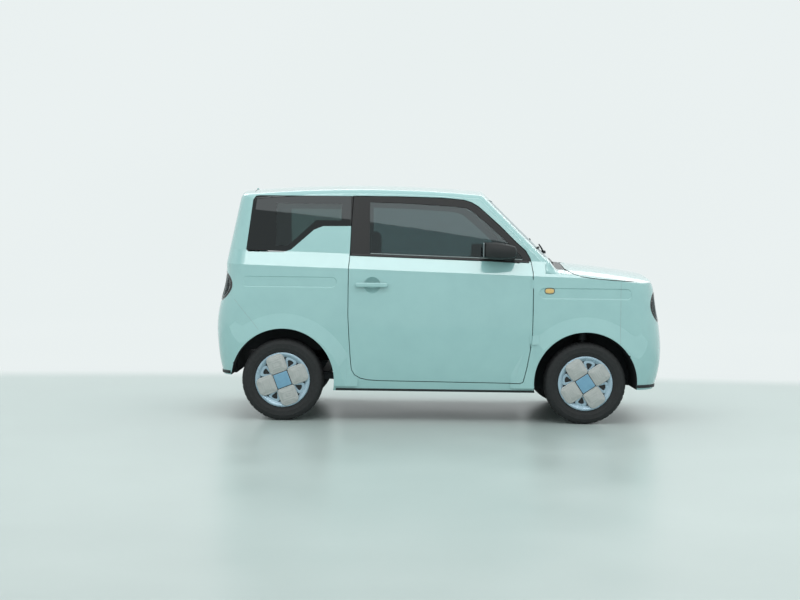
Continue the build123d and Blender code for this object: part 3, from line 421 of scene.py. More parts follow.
for n in ("side_frame_right", "side_frame_left"):
    finish_panel(n, SIDE_PAINT, PLASTIC)
for n in ("fender_right", "fender_left", "front_bumper", "rear_bumper"):
    finish_panel(n, MINT, UNDER)
finish_panel("roof_panel", MINT, LINER)
finish_panel("cowl_panel", COWL_PAINT, PLASTIC, GRAIN)
finish_panel("bonnet", MINT, MINT)
finish_panel("tailgate", MINT, PLASTIC, inward=(1, 0, 0))
for tag, side in SIDES:
    finish_panel("door_" + tag, DOOR_PAINT, PLASTIC, inward=(0, -side, 0))
for mat, slot, names in [
    (CARPET, "underbody", "floor_pan"), (UNDER, "underbody", "front_structure"),
    # The quarter glasses carry a painted dark reflection.
    (SCREEN, "glass_tint", "windscreen"), (QUARTER_PAINTED_REFLECTION, "glass_tint", "quarter_glasses"),
    (TAIL_TINT, "glass_tint", "tailgate_glass"), (TINTED, "glass_tint", "door_glass_right door_glass_left"),
    (GLOSS, "trim_black", "lamp_housings"), (LENS, "lens_clear", "lamp_lenses"),
    (GRAIN, "trim_black", "grille mirror_right mirror_left"),
    (PLASTIC, "interior_plastic", "dashboard steering_wheel"),
    (STEEL, "steel_dark", "seat_bases rear_axle front_subframe upright_right upright_left"),
    (CASING, "pack_casing", "battery_pack"), (ALLOY, "drive_alloy", "drive_unit power_boxes"),
]:
    for n in names.split():
        nodes[n].data.materials.clear()
        nodes[n].data.materials.append(mat)


# ---------------------------------------------------------------- wheels
def tyre_mesh():
    """A tyre with ribbed walls, four grooves and shoulder blocks. The tyre's middle is the origin."""
    wall = [(0.1825, 0.0655), (0.186, 0.0700), (0.1885, 0.0722), (0.192, 0.0730), (0.1935, 0.0723), (0.198, 0.0757),
            (0.205, 0.0783), (0.2075, 0.0786), (0.2085, 0.0797), (0.213, 0.0806), (0.2145, 0.0800), (0.2225, 0.0820),
            (0.230, 0.0825), (0.2345, 0.0821), (0.2355, 0.0828), (0.240, 0.0822), (0.2415, 0.0812), (0.247, 0.0797),
            (0.253, 0.0770), (0.259, 0.0730), (0.264, 0.0680)]
    tread = [(0.2675, 0.0625), (0.2695, 0.0560), (0.2705, 0.0470), (0.2708, 0.0440), (0.2640, 0.0432), (0.2640, 0.0368),
             (0.2712, 0.0360), (0.2718, 0.0250), (0.2718, 0.0210), (0.2645, 0.0203), (0.2645, 0.0137), (0.2719, 0.0130),
             (0.2720, 0.0060)]
    half = wall + tread
    profile = half + [(r, -y) for r, y in reversed(half)]
    segments = 252
    verts = []
    for r, y in profile:
        for s, a in enumerate(angles(segments)):
            depth = 0.0
            if 0.2690 < r and abs(y) > 0.043 and s % 6 == 0:
                depth = 0.0055
            elif 0.2690 < r and 0.0135 < abs(y) < 0.037 and (s + 3) % 9 == 0:
                depth = 0.004
            elif 0.2570 < r < 0.2690 and abs(y) > 0.06 and s % 6 == 0:
                depth = 0.003
            verts.append(((r - depth) * math.cos(a), y, (r - depth) * math.sin(a)))
    return verts, grid_faces(len(profile), segments, loop=True)


def rounded_square(size, corner, n, inner):
    """n points round a square with rounded corners. The two corners on the low side have the radius inner."""
    out = []
    for i in range(n):
        q, f = divmod(4.0 * i / n, 1.0)
        a = math.pi / 2 * (q + f)
        r = corner if q in (0, 3) else inner
        half = size / 2 - r
        cx = half if q in (0, 3) else -half
        cy = half if q in (0, 1) else -half
        out.append((cx + r * math.cos(a), cy + r * math.sin(a)))
    return out


def pillow(size, corner, low, high, dome, turn, ring=0.0, ribs=0, limit=None, inner=None):
    """A domed rounded square facing -Y, moved out by ring along the direction of turn.

    It stands from low to high, and dome more in its middle. Points past the radius limit are drawn in to it. ribs is
    the pace of fine ribs, which come with a groove near the edge.
    """
    n, levels = 96, 16
    edge = rounded_square(size, corner, n, inner or corner)
    rows = [(1.0, low), (1.0, high - 0.0016), (0.988, high - 0.0004)]
    rows += [(0.975 * (1 - k / levels), None) for k in range(levels)]
    cos, sin = math.cos(turn), math.sin(turn)
    verts = []
    for share, height in rows:
        for u, v in edge:
            pu, pv = u * share, v * share
            h = height
            if h is None:
                q = max(abs(pu), abs(pv)) / (size / 2)
                h = high + dome * (1 - q ** 2.4)
                if ribs:
                    h += 0.0008 * math.cos(pu * ribs) if q < 0.72 else 0
                    h -= 0.0020 * math.exp(-((q - 0.80) / 0.04) ** 2)
            x, z = ring + pu, pv
            if limit and math.hypot(x, z) > limit:
                d = math.hypot(x, z)
                x, z = x * limit / d, z * limit / d
            verts.append((x * cos - z * sin, -h, x * sin + z * cos))
    verts.append((ring * cos, -(high + dome), ring * sin))
    last = (len(rows) - 1) * n
    return verts, grid_faces(len(rows), n) + [(last + i, last + (i + 1) % n, last + n) for i in range(n)]


def cover_webs(turn):
    """Between the petals a web frames a dark three-cornered hole."""
    hole = rounded_outline([(0.086, 0.0), (0.133, -0.024), (0.141, 0.0), (0.133, 0.024)], 0.012, 5)
    middle, reach = 0.122, 0.158
    levels = ((1.9, -0.0600), (1.06, -0.0632), (1.0, -0.0628), (0.95, -0.0600), (0.93, -0.0520))
    webs = []
    for k in range(4):
        a = turn + math.pi / 4 + k * math.pi / 2
        points = []
        for share, y in levels:
            for u, v in hole:
                u, v = middle + (u - middle) * share, v * share
                d = math.hypot(u, v)
                u, v = (u * reach / d, v * reach / d) if d > reach else (u, v)
                points.append((u * math.cos(a) - v * math.sin(a), y, u * math.sin(a) + v * math.cos(a)))
        webs.append((points, grid_faces(len(levels), len(hole))))
    return merged(webs)


def wheel(tag, x, side, turn):
    """Everything on one wheel. It is built facing -Y, and mirrored for the left side."""
    def put(name, shape, mat, slot, **options):
        shape = placed(mirrored(shape) if side > 0 else shape, Matrix.Translation((x, side * WHEEL_Y, WHEEL_Z)))
        return make(name + "_" + tag, shape, mat, slot, "wheel_" + tag, **options)

    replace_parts(put("tyre_look", tyre_mesh(), RUBBER, "tyre_rubber"), "tyre_" + tag)
    barrel = [(0.1515, 0.064), (0.1515, -0.036), (0.146, -0.040), (0.062, -0.041), (0.046, -0.041), (0.046, -0.048),
              (0.150, -0.050), (0.160, -0.055), (0.166, -0.063), (0.1745, -0.0672), (0.1815, -0.0668),
              (0.1835, -0.0615), (0.1820, -0.055), (0.176, -0.045), (0.176, 0.045), (0.182, 0.055),
              (0.1835, 0.0615), (0.1815, 0.0668), (0.170, 0.067)]
    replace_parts(put("rim_look", lathe(barrel, 120, loop=True), STEEL, "wheel_cover"), "rim_" + tag)
    ring = [(0.1475, -0.058), (0.152, -0.0605), (0.158, -0.0655), (0.1650, -0.0715), (0.1700, -0.0738),
            (0.1755, -0.0742), (0.1800, -0.0728), (0.1826, -0.0695), (0.1826, -0.0668), (0.150, -0.054)]
    put("cover_ring", lathe(ring, 144, loop=True), RING, "wheel_cover")
    back = [(0.150, -0.0530), (0.120, -0.0535), (0.020, -0.0540), (0.0005, -0.0540)]
    put("cover_back", lathe(back), BLACK, "trim_black")
    petals = [pillow(0.1225, 0.034, 0.060, 0.0758, 0.0075, turn + k * math.pi / 2, ring=0.1115, ribs=430, limit=0.1765,
                     inner=0.024) for k in range(4)]
    put("cover_petals", merged(petals), PETAL, "wheel_cover")
    put("cover_webs", cover_webs(turn), RING, "wheel_cover")
    put("cover_square_edge", pillow(0.104, 0.010, 0.060, 0.0786, 0.0, turn), GLOSS, "trim_black")
    put("cover_square", pillow(0.0965, 0.006, 0.062, 0.0802, 0.0016, turn), SQUARE, "wheel_cover")
    hub = [(0.0205, 0.018), (0.0225, 0.0195), (0.044, 0.0195), (0.046, 0.017), (0.046, -0.040), (0.030, -0.041)]
    put("hub", lathe(hub, 64), ALLOY, "steel_dark")
    nut = lathe([(0.0, 0.006), (0.0085, 0.006), (0.0095, 0.005), (0.0095, -0.006)], 6)
    nuts = [placed(nut, Matrix.Translation((0.033 * math.cos(a + 0.4), 0.020, 0.033 * math.sin(a + 0.4))))
            for a in angles(4)]
    put("wheel_bolts", merged(nuts), STEEL, "steel_dark", smooth=False)
    valve = [(r * math.cos(2.2), y, r * math.sin(2.2)) for r, y in ((0.150, -0.045), (0.146, -0.066))]
    put("valve", tube(valve, 0.0038), SEAL, "tyre_rubber")


for axle, x, turn in (("f", FRONT_X, 34), ("r", REAR_X, 21)):
    for tag, side in SIDES:
        wheel(axle + tag[0], x, side, math.radians(turn))


# ---------------------------------------------------------------- trim that follows the body
def side_y(x, z, missing=-0.74):
    """Y of the right side's skin at (x, z), or missing where there is none."""
    hit = skin.ray_cast(Vector((x, -1.2, z)), Vector((0, 1, 0)), 1.2)
    return missing if hit[0] is None else hit[0].y


def belt(x):
    """The height of the belt line."""
    return BELT_Z - x * TILT


def window_y(x, z):
    """Y of the right side as two planes: the shoulder up to the belt line, and the windows' side above it."""
    top = belt(x)
    if z >= top:
        return BELT_Y + (RAIL_Y - BELT_Y) * (z - top) / (RAIL_Z - top)
    crease = CREASE_Z - x * TILT
    return CREASE_Y + (BELT_Y - CREASE_Y) * (z - crease) / (top - crease)


def strip(start, end, width, depth, samples, surface):
    """A moulding, straight in side view, from start to end (x, z). It stands depth off the surface."""
    (x0, z0), (x1, z1) = start, end
    length = math.hypot(x1 - x0, z1 - z0)
    section = [(-0.5, 0.0), (-0.5, 0.6), (-0.38, 0.93), (0.0, 1.0), (0.38, 0.93), (0.5, 0.6), (0.5, 0.0)]
    verts = []
    for i in range(samples):
        f = i / (samples - 1)
        for w, d in section:
            x = x0 + f * (x1 - x0) - (z1 - z0) / length * w * width
            z = z0 + f * (z1 - z0) + (x1 - x0) / length * w * width
            verts.append((x, surface(x, z) - d * depth + 0.0006, z))
    return verts, grid_faces(samples, len(section), closed=False, capped=True)


# A black waist seal on each door with a grey strip over it, the sill's edge, and the joints between bumpers and wings.
seal = strip((-0.606, belt(-0.606) - 0.004), (0.586, belt(0.586) - 0.004), 0.017, 0.0045, 60, window_y)
both_sides("belt_moulding", seal, BLACK, "trim_black", "door_right")
seal_top = strip((-0.470, belt(-0.470) + 0.008), (0.540, belt(0.540) + 0.008), 0.006, 0.0040, 60, window_y)
both_sides("belt_strip", seal_top, GREY_STRIP, "trim_black", "door_right")
both_sides("sill_strip", strip((-0.690, 0.2135), (0.630, 0.2135), 0.015, 0.004, 60, side_y), GRAIN, "trim_black")
for tag, start, end in [("rear", (-1.372, 0.806), (-1.206, 0.607)), ("front", (1.195, 0.975), (1.195, 0.535))]:
    both_sides("seam_" + tag, strip(start, end, 0.0016, 0.0010, 40, side_y), GREY_STRIP, "trim_black")


def hinge_cover(z0, z1, foot, top, x_ref):
    """A piece of skin over a door hinge. foot and top are (rear, front) at z0 and z1, and x_ref is where y is read."""
    rows, cols = 9, 5
    verts = []
    for r in range(rows):
        f = r / (rows - 1)
        z = z0 + (z1 - z0) * f
        y = side_y(x_ref, z) - 0.0002
        rear, front = (a * (1 - f) + b * f for a, b in zip(foot, top))
        xs = [rear * (1 - c / (cols - 1)) + front * c / (cols - 1) for c in range(cols)]
        verts += [(x, y, z) for x in xs] + [(x, y + 0.001, z) for x in reversed(xs)]
    return verts, grid_faces(rows, 2 * cols, capped=True)


# Where the skin is whole again beside the hinges, on the door and on the wing.
DOOR_EDGE, WING_EDGE = 0.582, 0.668
covers = [hinge_cover(0.5306, 0.5894, (0.5926, 0.6016), (0.5926, 0.6093), DOOR_EDGE),
          hinge_cover(0.9006, 0.9594, (0.5926, 0.6110), (0.5926, 0.6092), DOOR_EDGE),
          hinge_cover(0.5290, 0.5910, (0.6075, 0.6580), (0.6148, 0.6580), WING_EDGE),
          hinge_cover(0.9066, 0.9610, (0.6180, 0.6580), (0.6180, 0.6580), WING_EDGE)]
both_sides("hinge_covers", merged(covers), MINT, "paint_body", smooth=False)


def wing_corner():
    """The corner between the windscreen pillar's foot, the wing and the bonnet.

    Along x, the pillar's (y, z) outline turns into the wing's.
    """
    pillar = [(-0.7270, 0.9990), (-0.7180, 1.0200), (-0.7092, 1.0400), (-0.7005, 1.0605), (-0.6820, 1.0780),
              (-0.6610, 1.0915), (-0.6400, 1.1000), (-0.6180, 1.1060), (-0.5800, 1.1110)]
    wing = [(-0.7275, 0.9880), (-0.7160, 0.9985), (-0.7020, 1.0015), (-0.6820, 1.0058), (-0.6620, 1.0100),
            (-0.6420, 1.0140), (-0.6220, 1.0178), (-0.6020, 1.0216), (-0.5800, 1.0262)]
    rows = 15
    verts = []
    for i in range(rows):
        x = 0.694 + 0.138 * i / (rows - 1)
        f = min(1.0, max(0.0, (x - 0.700) / 0.096))
        f = f * f * (3 - 2 * f)
        top = [(x, a * (1 - f) + c * f - 0.0004, b * (1 - f) + d * f + 0.0008) for (a, b), (c, d) in zip(pillar, wing)]
        verts += top + [(x, -0.575, top[-1][2] - 0.04), (x, -0.700, 0.975)]
    return verts, grid_faces(rows, len(pillar) + 2, capped=True)


both_sides("wing_corner", wing_corner(), MINT, "paint_body")

# Door mirrors: a shell that thins towards the front, a foot on the window's front corner, and the mirror glass.
# BACK_X and FOOT_Z are where the shell starts, and HIGH is its height.
BACK_X, FOOT_Z, HIGH = 0.272, 1.086, 0.13
verts, faces = rounded_box((BACK_X, -0.852, FOOT_Z), (0.500, -0.716, FOOT_Z + HIGH), 0.046, 7)
shell = [(x, y + 0.10 * (x - BACK_X), z - 0.16 * (x - BACK_X) * (z - FOOT_Z) / HIGH + 0.03 * (x - BACK_X))
         for x, y, z in verts]
shells = both_sides("mirror_shell", (shell, faces), GRAIN, "trim_black", "door_right", subsurf=1)
for piece, (tag, _) in zip(shells, SIDES):
    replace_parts(piece, "mirror_" + tag)
for name, lo, hi, radius, mat in [
    ("mirror_foot", (0.400, -0.742, 1.084), (0.490, -0.690, 1.112), 0.012, GRAIN),
    ("mirror_sight", (0.2715, -0.838, 1.102), (0.2785, -0.730, 1.200), 0.0035, SIGHT),
]:
    both_sides(name, rounded_box(lo, hi, radius, 3), mat, "trim_black", "door_right")


def lip(x0, z, a0, a1, node, n=90, height=0.020, proud=0.007):
    """A moulding round an end of the body at height z, over the angles a0 to a1 seen from (x0, 0)."""
    tree = tree_of([node])
    section = [(-0.004, -0.5), (0.8, -0.5), (1.0, -0.32), (1.0, 0.32), (0.8, 0.5), (-0.004, 0.5)]
    verts = []
    for i in range(n):
        a = math.radians(a0 + (a1 - a0) * i / (n - 1))
        d = Vector((math.cos(a), math.sin(a), 0))
        hit = tree.ray_cast(Vector((x0, 0, z)) + d * 2.0, -d, 2.0)
        if hit[0] is not None:
            verts += [hit[0] + d * (k * proud) + Vector((0, 0, h * height)) for k, h in section]
    return verts, grid_faces(len(verts) // len(section), len(section), closed=False, capped=True)


make("front_lip", lip(0.90, 0.258, -62, 62, "front_bumper"), GRAIN, "trim_black")
make("rear_lip", lip(-0.95, 0.318, 118, 242, "rear_bumper"), GRAIN, "trim_black")

# ---------------------------------------------------------------- lamps
HEADLAMP_Y, HEADLAMP_Z = 0.560, 0.783
TAILLAMP_Y, TAILLAMP_Z = 0.600, 0.888
lens_tree = tree_of(["lamp_lenses"])


def follow_lens(y0, z0, radius, width, end, lift, segments=120):
    """A ring that follows the lens, lift behind it. end is 1 at the front and -1 at the rear."""
    pts = []
    for a in angles(segments):
        y, z = y0 + radius * math.cos(a), z0 + radius * math.sin(a)
        hit = lens_tree.ray_cast(Vector((1.8 * end, y, z)), Vector((-end, 0, 0)), 2)
        x = hit[0].x if hit[0] is not None else (1.40 if end > 0 else -1.42)
        pts.append((x - end * lift, y, z))
    return tube(pts, width, 10, loop=True)


def lamp_rings(tag, y, z, end, rows):
    """Rings behind a lens: (name, radius, bar radius, lift, finish, slot) each."""
    for name, radius, width, lift, mat, slot in rows:
        make(name + "_" + tag, follow_lens(y, z, radius, width, end, lift), mat, slot)


for tag, side in SIDES:
    y, z = side * HEADLAMP_Y, HEADLAMP_Z
    bowl = [(0.0975, 1.392), (0.0960, 1.360), (0.088, 1.345), (0.070, 1.338), (0.052, 1.336), (0.001, 1.335)]
    make("headlamp_bowl_" + tag, disc_x(y, z, bowl), GLOSS, "trim_black")
    lamp_rings(tag, y, z, 1, [("headlamp_bezel", 0.0945, 0.0050, -0.0005, GLOSS, "trim_black"),
                              ("headlamp_ring", 0.0815, 0.0075, 0.009, WHITE, "lens_clear"),
                              ("headlamp_ring_seat", 0.0865, 0.0085, 0.032, CHROME, "lens_clear")])
    cup = [(0.030, 1.372), (0.031, 1.370), (0.026, 1.352), (0.014, 1.341), (0.001, 1.338)]
    ball = [(0.0165, 1.345), (0.0160, 1.352), (0.013, 1.358), (0.007, 1.362), (0.0005, 1.363)]
    for k, dz in enumerate((-0.032, 0.032)):
        make("headlamp_cup%d_%s" % (k, tag), disc_x(y, z + dz, cup, 64), CHROME, "lens_clear")
        make("headlamp_lens%d_%s" % (k, tag), disc_x(y, z + dz, ball, 48), WHITE, "lens_clear")
    y, z = side * TAILLAMP_Y, TAILLAMP_Z
    bowl = [(0.0835, -1.395), (0.082, -1.380), (0.070, -1.374), (0.001, -1.372)]
    make("taillamp_bowl_" + tag, disc_x(y, z, bowl), GLOSS, "trim_black")
    lamp_rings(tag, y, z, -1, [("taillamp_bezel", 0.0810, 0.0045, -0.0005, GLOSS, "trim_black"),
                               ("taillamp_rim", 0.0710, 0.0040, 0.005, WHITE, "lens_clear"),
                               ("taillamp_ring", 0.062, 0.0065, 0.012, RED, "lens_clear"),
                               ("taillamp_inner_ring", 0.050, 0.0035, 0.018, CHROME, "lens_clear")])
    bulb = [(0.024, -1.376), (0.022, -1.384), (0.013, -1.391), (0.001, -1.393)]
    make("taillamp_bulb_" + tag, disc_x(y, z, bulb, 48), AMBER, "lens_clear")

# A small domed oval repeater on each wing, and its rim.
REPEATER_X, REPEATER_Z = 0.722, 0.886


def oval(a, half_length, half_height):
    """(x, z) on the repeater's outline at an angle, at a given size."""
    c, s = math.cos(a), math.sin(a)
    return (REPEATER_X + math.copysign(abs(c) ** 0.6, c) * half_length,
            REPEATER_Z + math.copysign(abs(s) ** 0.8, s) * half_height)


dome, levels = [], 6
for k in range(levels + 1):
    share, rise = math.cos(math.pi / 2 * k / levels), math.sin(math.pi / 2 * k / levels)
    for x, z in (oval(a, 0.029 * share, 0.0165 * share) for a in angles(48)):
        dome.append((x, side_y(x, z) - 0.0035 * rise + 0.0005, z))
both_sides("repeater", (dome, grid_faces(levels + 1, 48)), AMBER, "lens_clear")
rim = [(x, side_y(x, z, -0.738), z) for x, z in (oval(a, 0.032, 0.0195) for a in angles(64))]
both_sides("repeater_rim", tube(rim, 0.0022, 8, loop=True), GRAIN, "trim_black")

# ---------------------------------------------------------------- wipers
screen_tree = tree_of(["windscreen", "cowl_panel"])


def over_screen(x, y, lift):
    """The point lift above the windscreen or the cowl at (x, y)."""
    hit = screen_tree.ray_cast(Vector((x, y, 2.0)), Vector((0, 0, -1)), 2)
    return Vector((x, y, (hit[0].z if hit[0] is not None else 1.08) + lift))


for k, (y0, y1, x1) in enumerate([(0.46, -0.12, 0.640), (-0.06, -0.52, 0.655)]):
    base = over_screen(0.745, y0, 0.016)
    middle = over_screen(0.690, (y0 + y1) / 2, 0.030)
    arm = [base, base.lerp(middle, 0.5) + Vector((0, 0, 0.004)), middle]
    make("wiper_arm_%d" % k, tube(arm, [0.008, 0.006, 0.0045], 10), BLACK, "trim_black")
    blade = [over_screen(x1 + (0.700 - x1) * i / 13, y1 + (y0 - 0.12 - y1) * i / 13, 0.007) for i in range(14)]
    make("wiper_blade_%d" % k, tube(blade, 0.0055, 8), SEAL, "trim_black")
    verts, faces = lathe([(0.0, 0.012), (0.014, 0.010), (0.017, 0.0), (0.017, -0.010)], 32)
    pivot = [(base.x + x, base.y + z, base.z + y) for x, y, z in verts]
    make("wiper_pivot_%d" % k, (pivot, faces), GRAIN, "trim_black")


# ---------------------------------------------------------------- cabin
def cushion(name, lo, hi, crown, seams=(), bolster=0.0, tilt=0, pivot=(0, 0, 0)):
    """A padded block: a crowned top, pressed seams and side bolsters, then turned by tilt degrees about pivot."""
    lo, hi = Vector(lo), Vector(hi)
    centre, half = (lo + hi) / 2, (hi - lo) / 2
    roundness = 5.0
    bm = cube_grid(23)
    for v in bm.verts:
        d = v.co.copy()
        norm = sum(abs(c) ** roundness for c in d) ** (1 / roundness)
        q = d * (max(abs(c) for c in d) / norm)
        z = q.z * half.z
        if d.z > 0:
            z += crown * (1 - min(1, abs(d.x)) ** 2) * (1 - min(1, abs(d.y)) ** 2)
            z += bolster * max(0.0, abs(d.y) - 0.55) / 0.45 * (1 - abs(d.y) ** 12)
            for s in seams:
                z -= 0.007 * math.exp(-((d.x - s) / 0.035) ** 2) * (1 if abs(d.y) < 0.62 else 0.3)
            z -= 0.006 * math.exp(-((abs(d.y) - 0.60) / 0.03) ** 2)
            z += 0.0012 * math.sin(17 * d.x + 5 * d.y) * math.cos(13 * d.y - 3 * d.x)
        v.co = Vector((q.x * half.x, q.y * half.y, z)) + centre
    pivot = Vector(pivot)
    bm.transform(Matrix.Translation(pivot) @ Matrix.Rotation(math.radians(tilt), 4, "Y") @ Matrix.Translation(-pivot))
    obj = make(name, shape_of(bm), CLOTH, "seat_cloth", subsurf=1)
    return obj


# The backrests are built lying down and turned up about their lower edges.
seats = []
for tag, side in SIDES:
    y = side * 0.33
    seats.append(cushion("seat_cushion_" + tag, (-0.295, y - 0.232, 0.402), (0.212, y + 0.232, 0.500), 0.016,
                         (-0.55, -0.1, 0.35), 0.020))
    cushion("seat_back_" + tag, (-0.90, y - 0.230, 0.470), (-0.285, y + 0.230, 0.570), 0.014, (-0.5, 0.0, 0.45), 0.022,
            tilt=79, pivot=(-0.300, y, 0.470))
    cushion("headrest_" + tag, (-0.475, y - 0.118, 1.112), (-0.412, y + 0.118, 1.262), 0.010)
    posts = merged([tube([(-0.432, y + d, 1.05), (-0.446, y + d, 1.15)], 0.0065) for d in (-0.05, 0.05)])
    make("headrest_posts_" + tag, posts, CHROME, "steel_dark")
    valance = rounded_box((-0.29, y + side * 0.205, 0.355), (0.14, y + side * 0.234, 0.412), 0.012)
    make("seat_valance_" + tag, valance, PLASTIC, "interior_plastic")
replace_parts(seats[0], "front_seats")
bench = cushion("bench_cushion", (-0.985, -0.498, 0.494), (-0.650, 0.498, 0.592), 0.012, (-0.3, 0.3))
cushion("bench_back", (-1.40, -0.498, 0.545), (-0.985, 0.498, 0.615), 0.008, (-0.4, 0.2),
        tilt=80, pivot=(-0.985, 0, 0.545))
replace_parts(bench, "rear_bench")


def fit_out(name, shape, mat=PLASTIC):
    """A piece of the cabin's fittings."""
    return make(name, shape, mat, "interior_plastic")


# Dashboard: the display, four vents with their slats, and a pale line.
VENTS_Y = (-0.54, -0.05, 0.08, 0.56)
fit_out("display_panel", rounded_box((0.418, -0.10, 0.975), (0.432, 0.46, 1.085), 0.006), GLOSS)
vents = merged([rounded_box((0.424, y - 0.05, 0.918), (0.452, y + 0.05, 0.960), 0.006) for y in VENTS_Y])
fit_out("air_vents", vents, GRAIN)
slats = merged([rounded_box((0.4205, y - 0.045, z), (0.430, y + 0.045, z + 0.003), 0.0012, 1)
                for y in VENTS_Y for z in (0.926, 0.934, 0.942, 0.950)])
fit_out("vent_slats", slats, BLACK)
fit_out("dash_line", rounded_box((0.430, -0.60, 0.966), (0.446, 0.60, 0.972), 0.002, 1), PALE_PLASTIC)

# The steering wheel in its own plane: across it, up in it, and along its axis towards the driver.
HUB = Vector((0.310, 0.330, 0.989))
STEERING_TILT = math.radians(26)
axis = Vector((-math.cos(STEERING_TILT), 0, math.sin(STEERING_TILT)))
across = Vector((0, 1, 0))
upward = axis.cross(across)


def at_wheel(right, up, out=0.0):
    """A point by the steering wheel."""
    return HUB + across * right + upward * up + axis * out


rim_line = [at_wheel(0.180 * math.cos(a), 0.180 * math.sin(a)) for a in angles(96)]
grip = fit_out("steering_rim", tube(rim_line, 0.0145, 16, loop=True), GRAIN)
pad_matrix = Matrix((across, upward, axis)).transposed().to_4x4()
pad_matrix.translation = HUB
fit_out("steering_pad", placed(rounded_box((-0.075, -0.052, -0.012), (0.075, 0.055, 0.018), 0.016), pad_matrix))
spokes = [tube([at_wheel(s * 0.06, 0), at_wheel(s * 0.172, 0)], 0.011) for s in (-1, 1)]
fit_out("steering_spokes", merged(spokes + [tube([at_wheel(0, -0.045), at_wheel(0, -0.172)], 0.010)]), BLACK)
cowl = tube([at_wheel(0, 0, -0.012), at_wheel(0, 0, -0.09), at_wheel(0, 0, -0.19)], [0.034, 0.044, 0.050], 20)
fit_out("column_cowl", cowl)
stalks = [tube([at_wheel(s * 0.03, 0, -0.05), at_wheel(s * 0.16, 0.01, -0.035)], [0.008, 0.006], 10) for s in (-1, 1)]
fit_out("column_stalks", merged(stalks), BLACK)
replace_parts(grip, "steering_wheel")

# Pedals, a console between the seats with a selector, and the rear-view mirror.
PEDALS_Y = (0.26, 0.38)
pedals = merged([rounded_box((0.500, y - 0.028, 0.360), (0.514, y + 0.028, 0.430), 0.006) for y in PEDALS_Y]
                + [tube([(0.512, y, 0.415), (0.560, y, 0.600)], 0.006, 10) for y in PEDALS_Y])
make("pedals", pedals, STEEL, "steel_dark")
fit_out("centre_console", rounded_box((-0.20, -0.075, 0.293), (0.30, 0.075, 0.420), 0.018))
knob = placed(lathe([(0.0, 0.030), (0.020, 0.029), (0.025, 0.024), (0.026, 0.0)], 48),
              Matrix.Translation((0.20, 0, 0.418)) @ Matrix.Rotation(math.pi / 2, 4, "X"))
fit_out("drive_selector", knob, CHROME)
make("rear_view_mirror", rounded_box((0.262, -0.115, 1.385), (0.290, 0.115, 1.440), 0.014), BLACK, "trim_black")
make("rear_view_glass", rounded_box((0.2595, -0.105, 1.392), (0.2635, 0.105, 1.433), 0.002, 2), SIGHT, "trim_black")
make("rear_view_stalk", tube([(0.285, 0, 1.430), (0.330, 0, 1.458)], 0.007), BLACK, "trim_black")

# Door cards: armrest, pull, pocket, a cloth field and a speaker ring.
for name, mat, lo, hi, radius in [
    ("door_armrest", PALE_PLASTIC, (-0.300, -0.664, 0.660), (0.160, -0.602, 0.708), 0.020),
    ("door_pull", GRAIN, (0.060, -0.664, 0.770), (0.230, -0.634, 0.796), 0.010),
    ("door_pocket", GRAIN, (-0.330, -0.664, 0.345), (0.360, -0.622, 0.470), 0.018),
    ("door_cloth", CLOTH_PALE, (-0.380, -0.662, 0.735), (0.020, -0.650, 0.900), 0.006),
]:
    both_sides(name, rounded_box(lo, hi, radius, 3), mat, "interior_plastic", "door_right")
speaker = lathe([(0.0, 0.004), (0.052, 0.006), (0.060, 0.010), (0.070, 0.010), (0.074, 0.002), (0.074, -0.006)], 64)
speaker = placed(speaker, Matrix.Translation((0.330, -0.655, 0.590)))
both_sides("door_speaker", speaker, GRAIN, "interior_plastic", "door_right")


# ---------------------------------------------------------------- springs
def coil(p0, p1, radius, wire, turns):
    """A coil spring between two points."""
    p0, p1 = Vector(p0), Vector(p1)
    along = (p1 - p0).normalized()
    u = along.orthogonal().normalized()
    v = along.cross(u)
    n = int(turns * 28)
    pts = []
    for i in range(n + 1):
        a = 2 * math.pi * turns * i / n
        pts.append(p0.lerp(p1, i / n) + u * (radius * math.cos(a)) + v * (radius * math.sin(a)))
    return tube(pts, wire, 10)


strut_spring = coil((0.970, -0.5235, 0.480), (0.970, -0.5000, 0.735), 0.0455, 0.0052, 5.5)
both_sides("strut_spring", strut_spring, SEAL, "steel_dark", "steer_right")
rear_coil = coil((-0.930, -0.492, 0.306), (-0.930, -0.492, 0.458), 0.0475, 0.0055, 4.5)
both_sides("rear_coil", rear_coil, SEAL, "steel_dark")

# ---------------------------------------------------------------- studio
CAMERA_AT = (-0.27, -9.84, 1.144)
CAMERA_DOWN, CAMERA_ROLL = 2.08, 0.757
camera_data = bpy.data.cameras.new("camera")
camera_data.sensor_width = 36
camera_data.lens = 61.83
camera_data.clip_end = 200
camera = bpy.data.objects.new("camera", camera_data)
scene.collection.objects.link(camera)
camera.matrix_world = (Matrix.Translation(CAMERA_AT) @ Matrix.Rotation(math.radians(90 - CAMERA_DOWN), 4, "X")
                       @ Matrix.Rotation(math.radians(CAMERA_ROLL), 4, "Z"))
scene.camera = camera


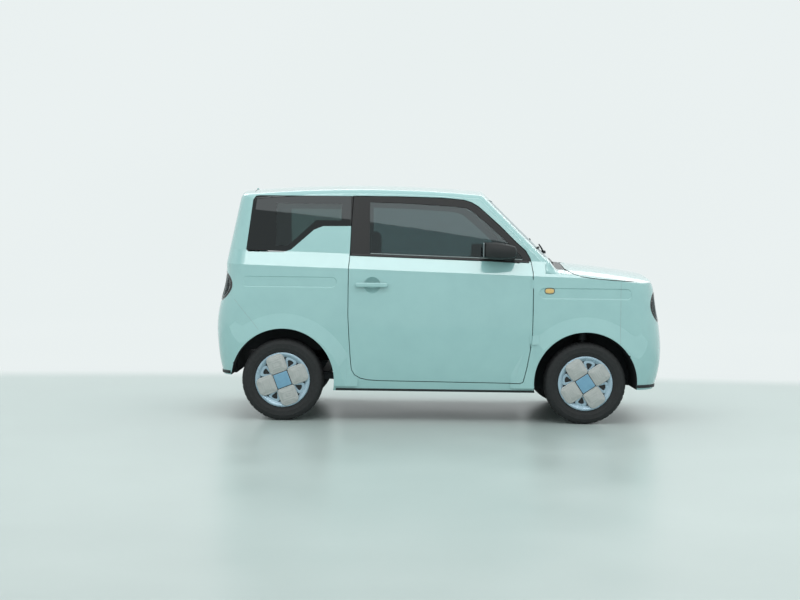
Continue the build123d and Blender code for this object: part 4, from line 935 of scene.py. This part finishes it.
def studio():
    """A pale floor that fades, a few metres from the car, into an evenly lit pale sweep."""
    n = 96
    profile = [(2.0, 0.0), (4.0, 0.0), (8.0, 0.0), (14.0, 0.0), (17.0, 0.3), (19.0, 1.4), (20.0, 3.4), (20.4, 14.0)]
    verts = [(r * math.cos(a), r * math.sin(a), z) for r, z in profile for a in angles(n)]
    faces = [tuple(reversed(f)) for f in grid_faces(len(profile), n)]
    mesh = bpy.data.meshes.new("studio")
    mesh.from_pydata(verts, [], faces + [tuple(range(n))])
    mat = material("studio_floor", "AEBDBA", "BCCAC7", 0.30, 1.3, (0.04, 16), mix=0.8, rough_spread=0.12,
                   Specular_IOR_Level=0.30)
    tree = mat.node_tree
    # The distance from (0, -3), with x counted half, sets where the floor turns into the sweep.
    flat = add(tree, "VectorMath", "MULTIPLY_ADD")
    flat.inputs[1].default_value = (0.5, 1, 0)
    flat.inputs[2].default_value = (0, 3.0, 0)
    link(tree, add(tree, "TexCoord"), "Object", flat, 0)
    length = add(tree, "VectorMath", "LENGTH")
    link(tree, flat, 0, length, 0)
    far = add(tree, "MapRange", From_Min=5.2, From_Max=6.1)
    far.interpolation_type = "SMOOTHSTEP"
    link(tree, length, "Value", far, "Value")
    glow = add(tree, "Emission")
    tint = two_tones(tree, 0.12, (0.800, 0.860, 0.858, 1), (0.840, 0.890, 0.890, 1))[1]
    link(tree, tint, "Color", glow, "Color")
    mix_shaders(tree, far, tree.nodes["Principled BSDF"], glow)
    mesh.materials.append(mat)
    obj = bpy.data.objects.new("studio", mesh)
    scene.collection.objects.link(obj)


studio()


def area(name, location, target, size, energy):
    """A rectangular lamp that the camera doesn't see."""
    light = bpy.data.lights.new(name, "AREA")
    light.shape = "RECTANGLE"
    light.size, light.size_y = size
    light.energy = energy
    obj = bpy.data.objects.new(name, light)
    scene.collection.objects.link(obj)
    obj.location = location
    obj.rotation_mode = "QUATERNION"
    obj.rotation_quaternion = (Vector(target) - Vector(location)).to_track_quat("-Z", "Y")
    obj.visible_camera = False
    return obj


area("top", (0, 0, 7.0), (0, 0, 0), (13, 11), 365)
for tag, side in SIDES:
    # A long strip that the leaning shoulder mirrors, a card that ends part way down the windows, and two end fills.
    area("shoulder_" + tag, (0, side * 5.2, 5.9), (0, 0, 1.0), (12, 0.6), 135)
    card = area("window_" + tag, (0, side * 7.65, 4.9), (0, 0, 1.3), (12, 0.6), 40)
    card.rotation_quaternion = card.rotation_quaternion @ Quaternion((0, 0, 1), side * 0.22)
    for end, x in (("front", 4.4), ("rear", -4.6)):
        fill = area(end + "_" + tag, (x, side * 3.4, 2.6), (0.3 * x, side * 0.5, 0.8), (2.5, 2.5), 13)
        fill.visible_glossy = False

world = bpy.data.worlds.new("studio_air")
scene.world = world
world.use_nodes = True
background = world.node_tree.nodes["Background"]
background.inputs["Strength"].default_value = 0.45
air = two_tones(world.node_tree, 0.6, (0.80, 0.86, 0.86, 1), (0.86, 0.90, 0.90, 1), space="Generated")[1]
link(world.node_tree, air, "Color", background, "Color")
scene.view_settings.view_transform = "Standard"
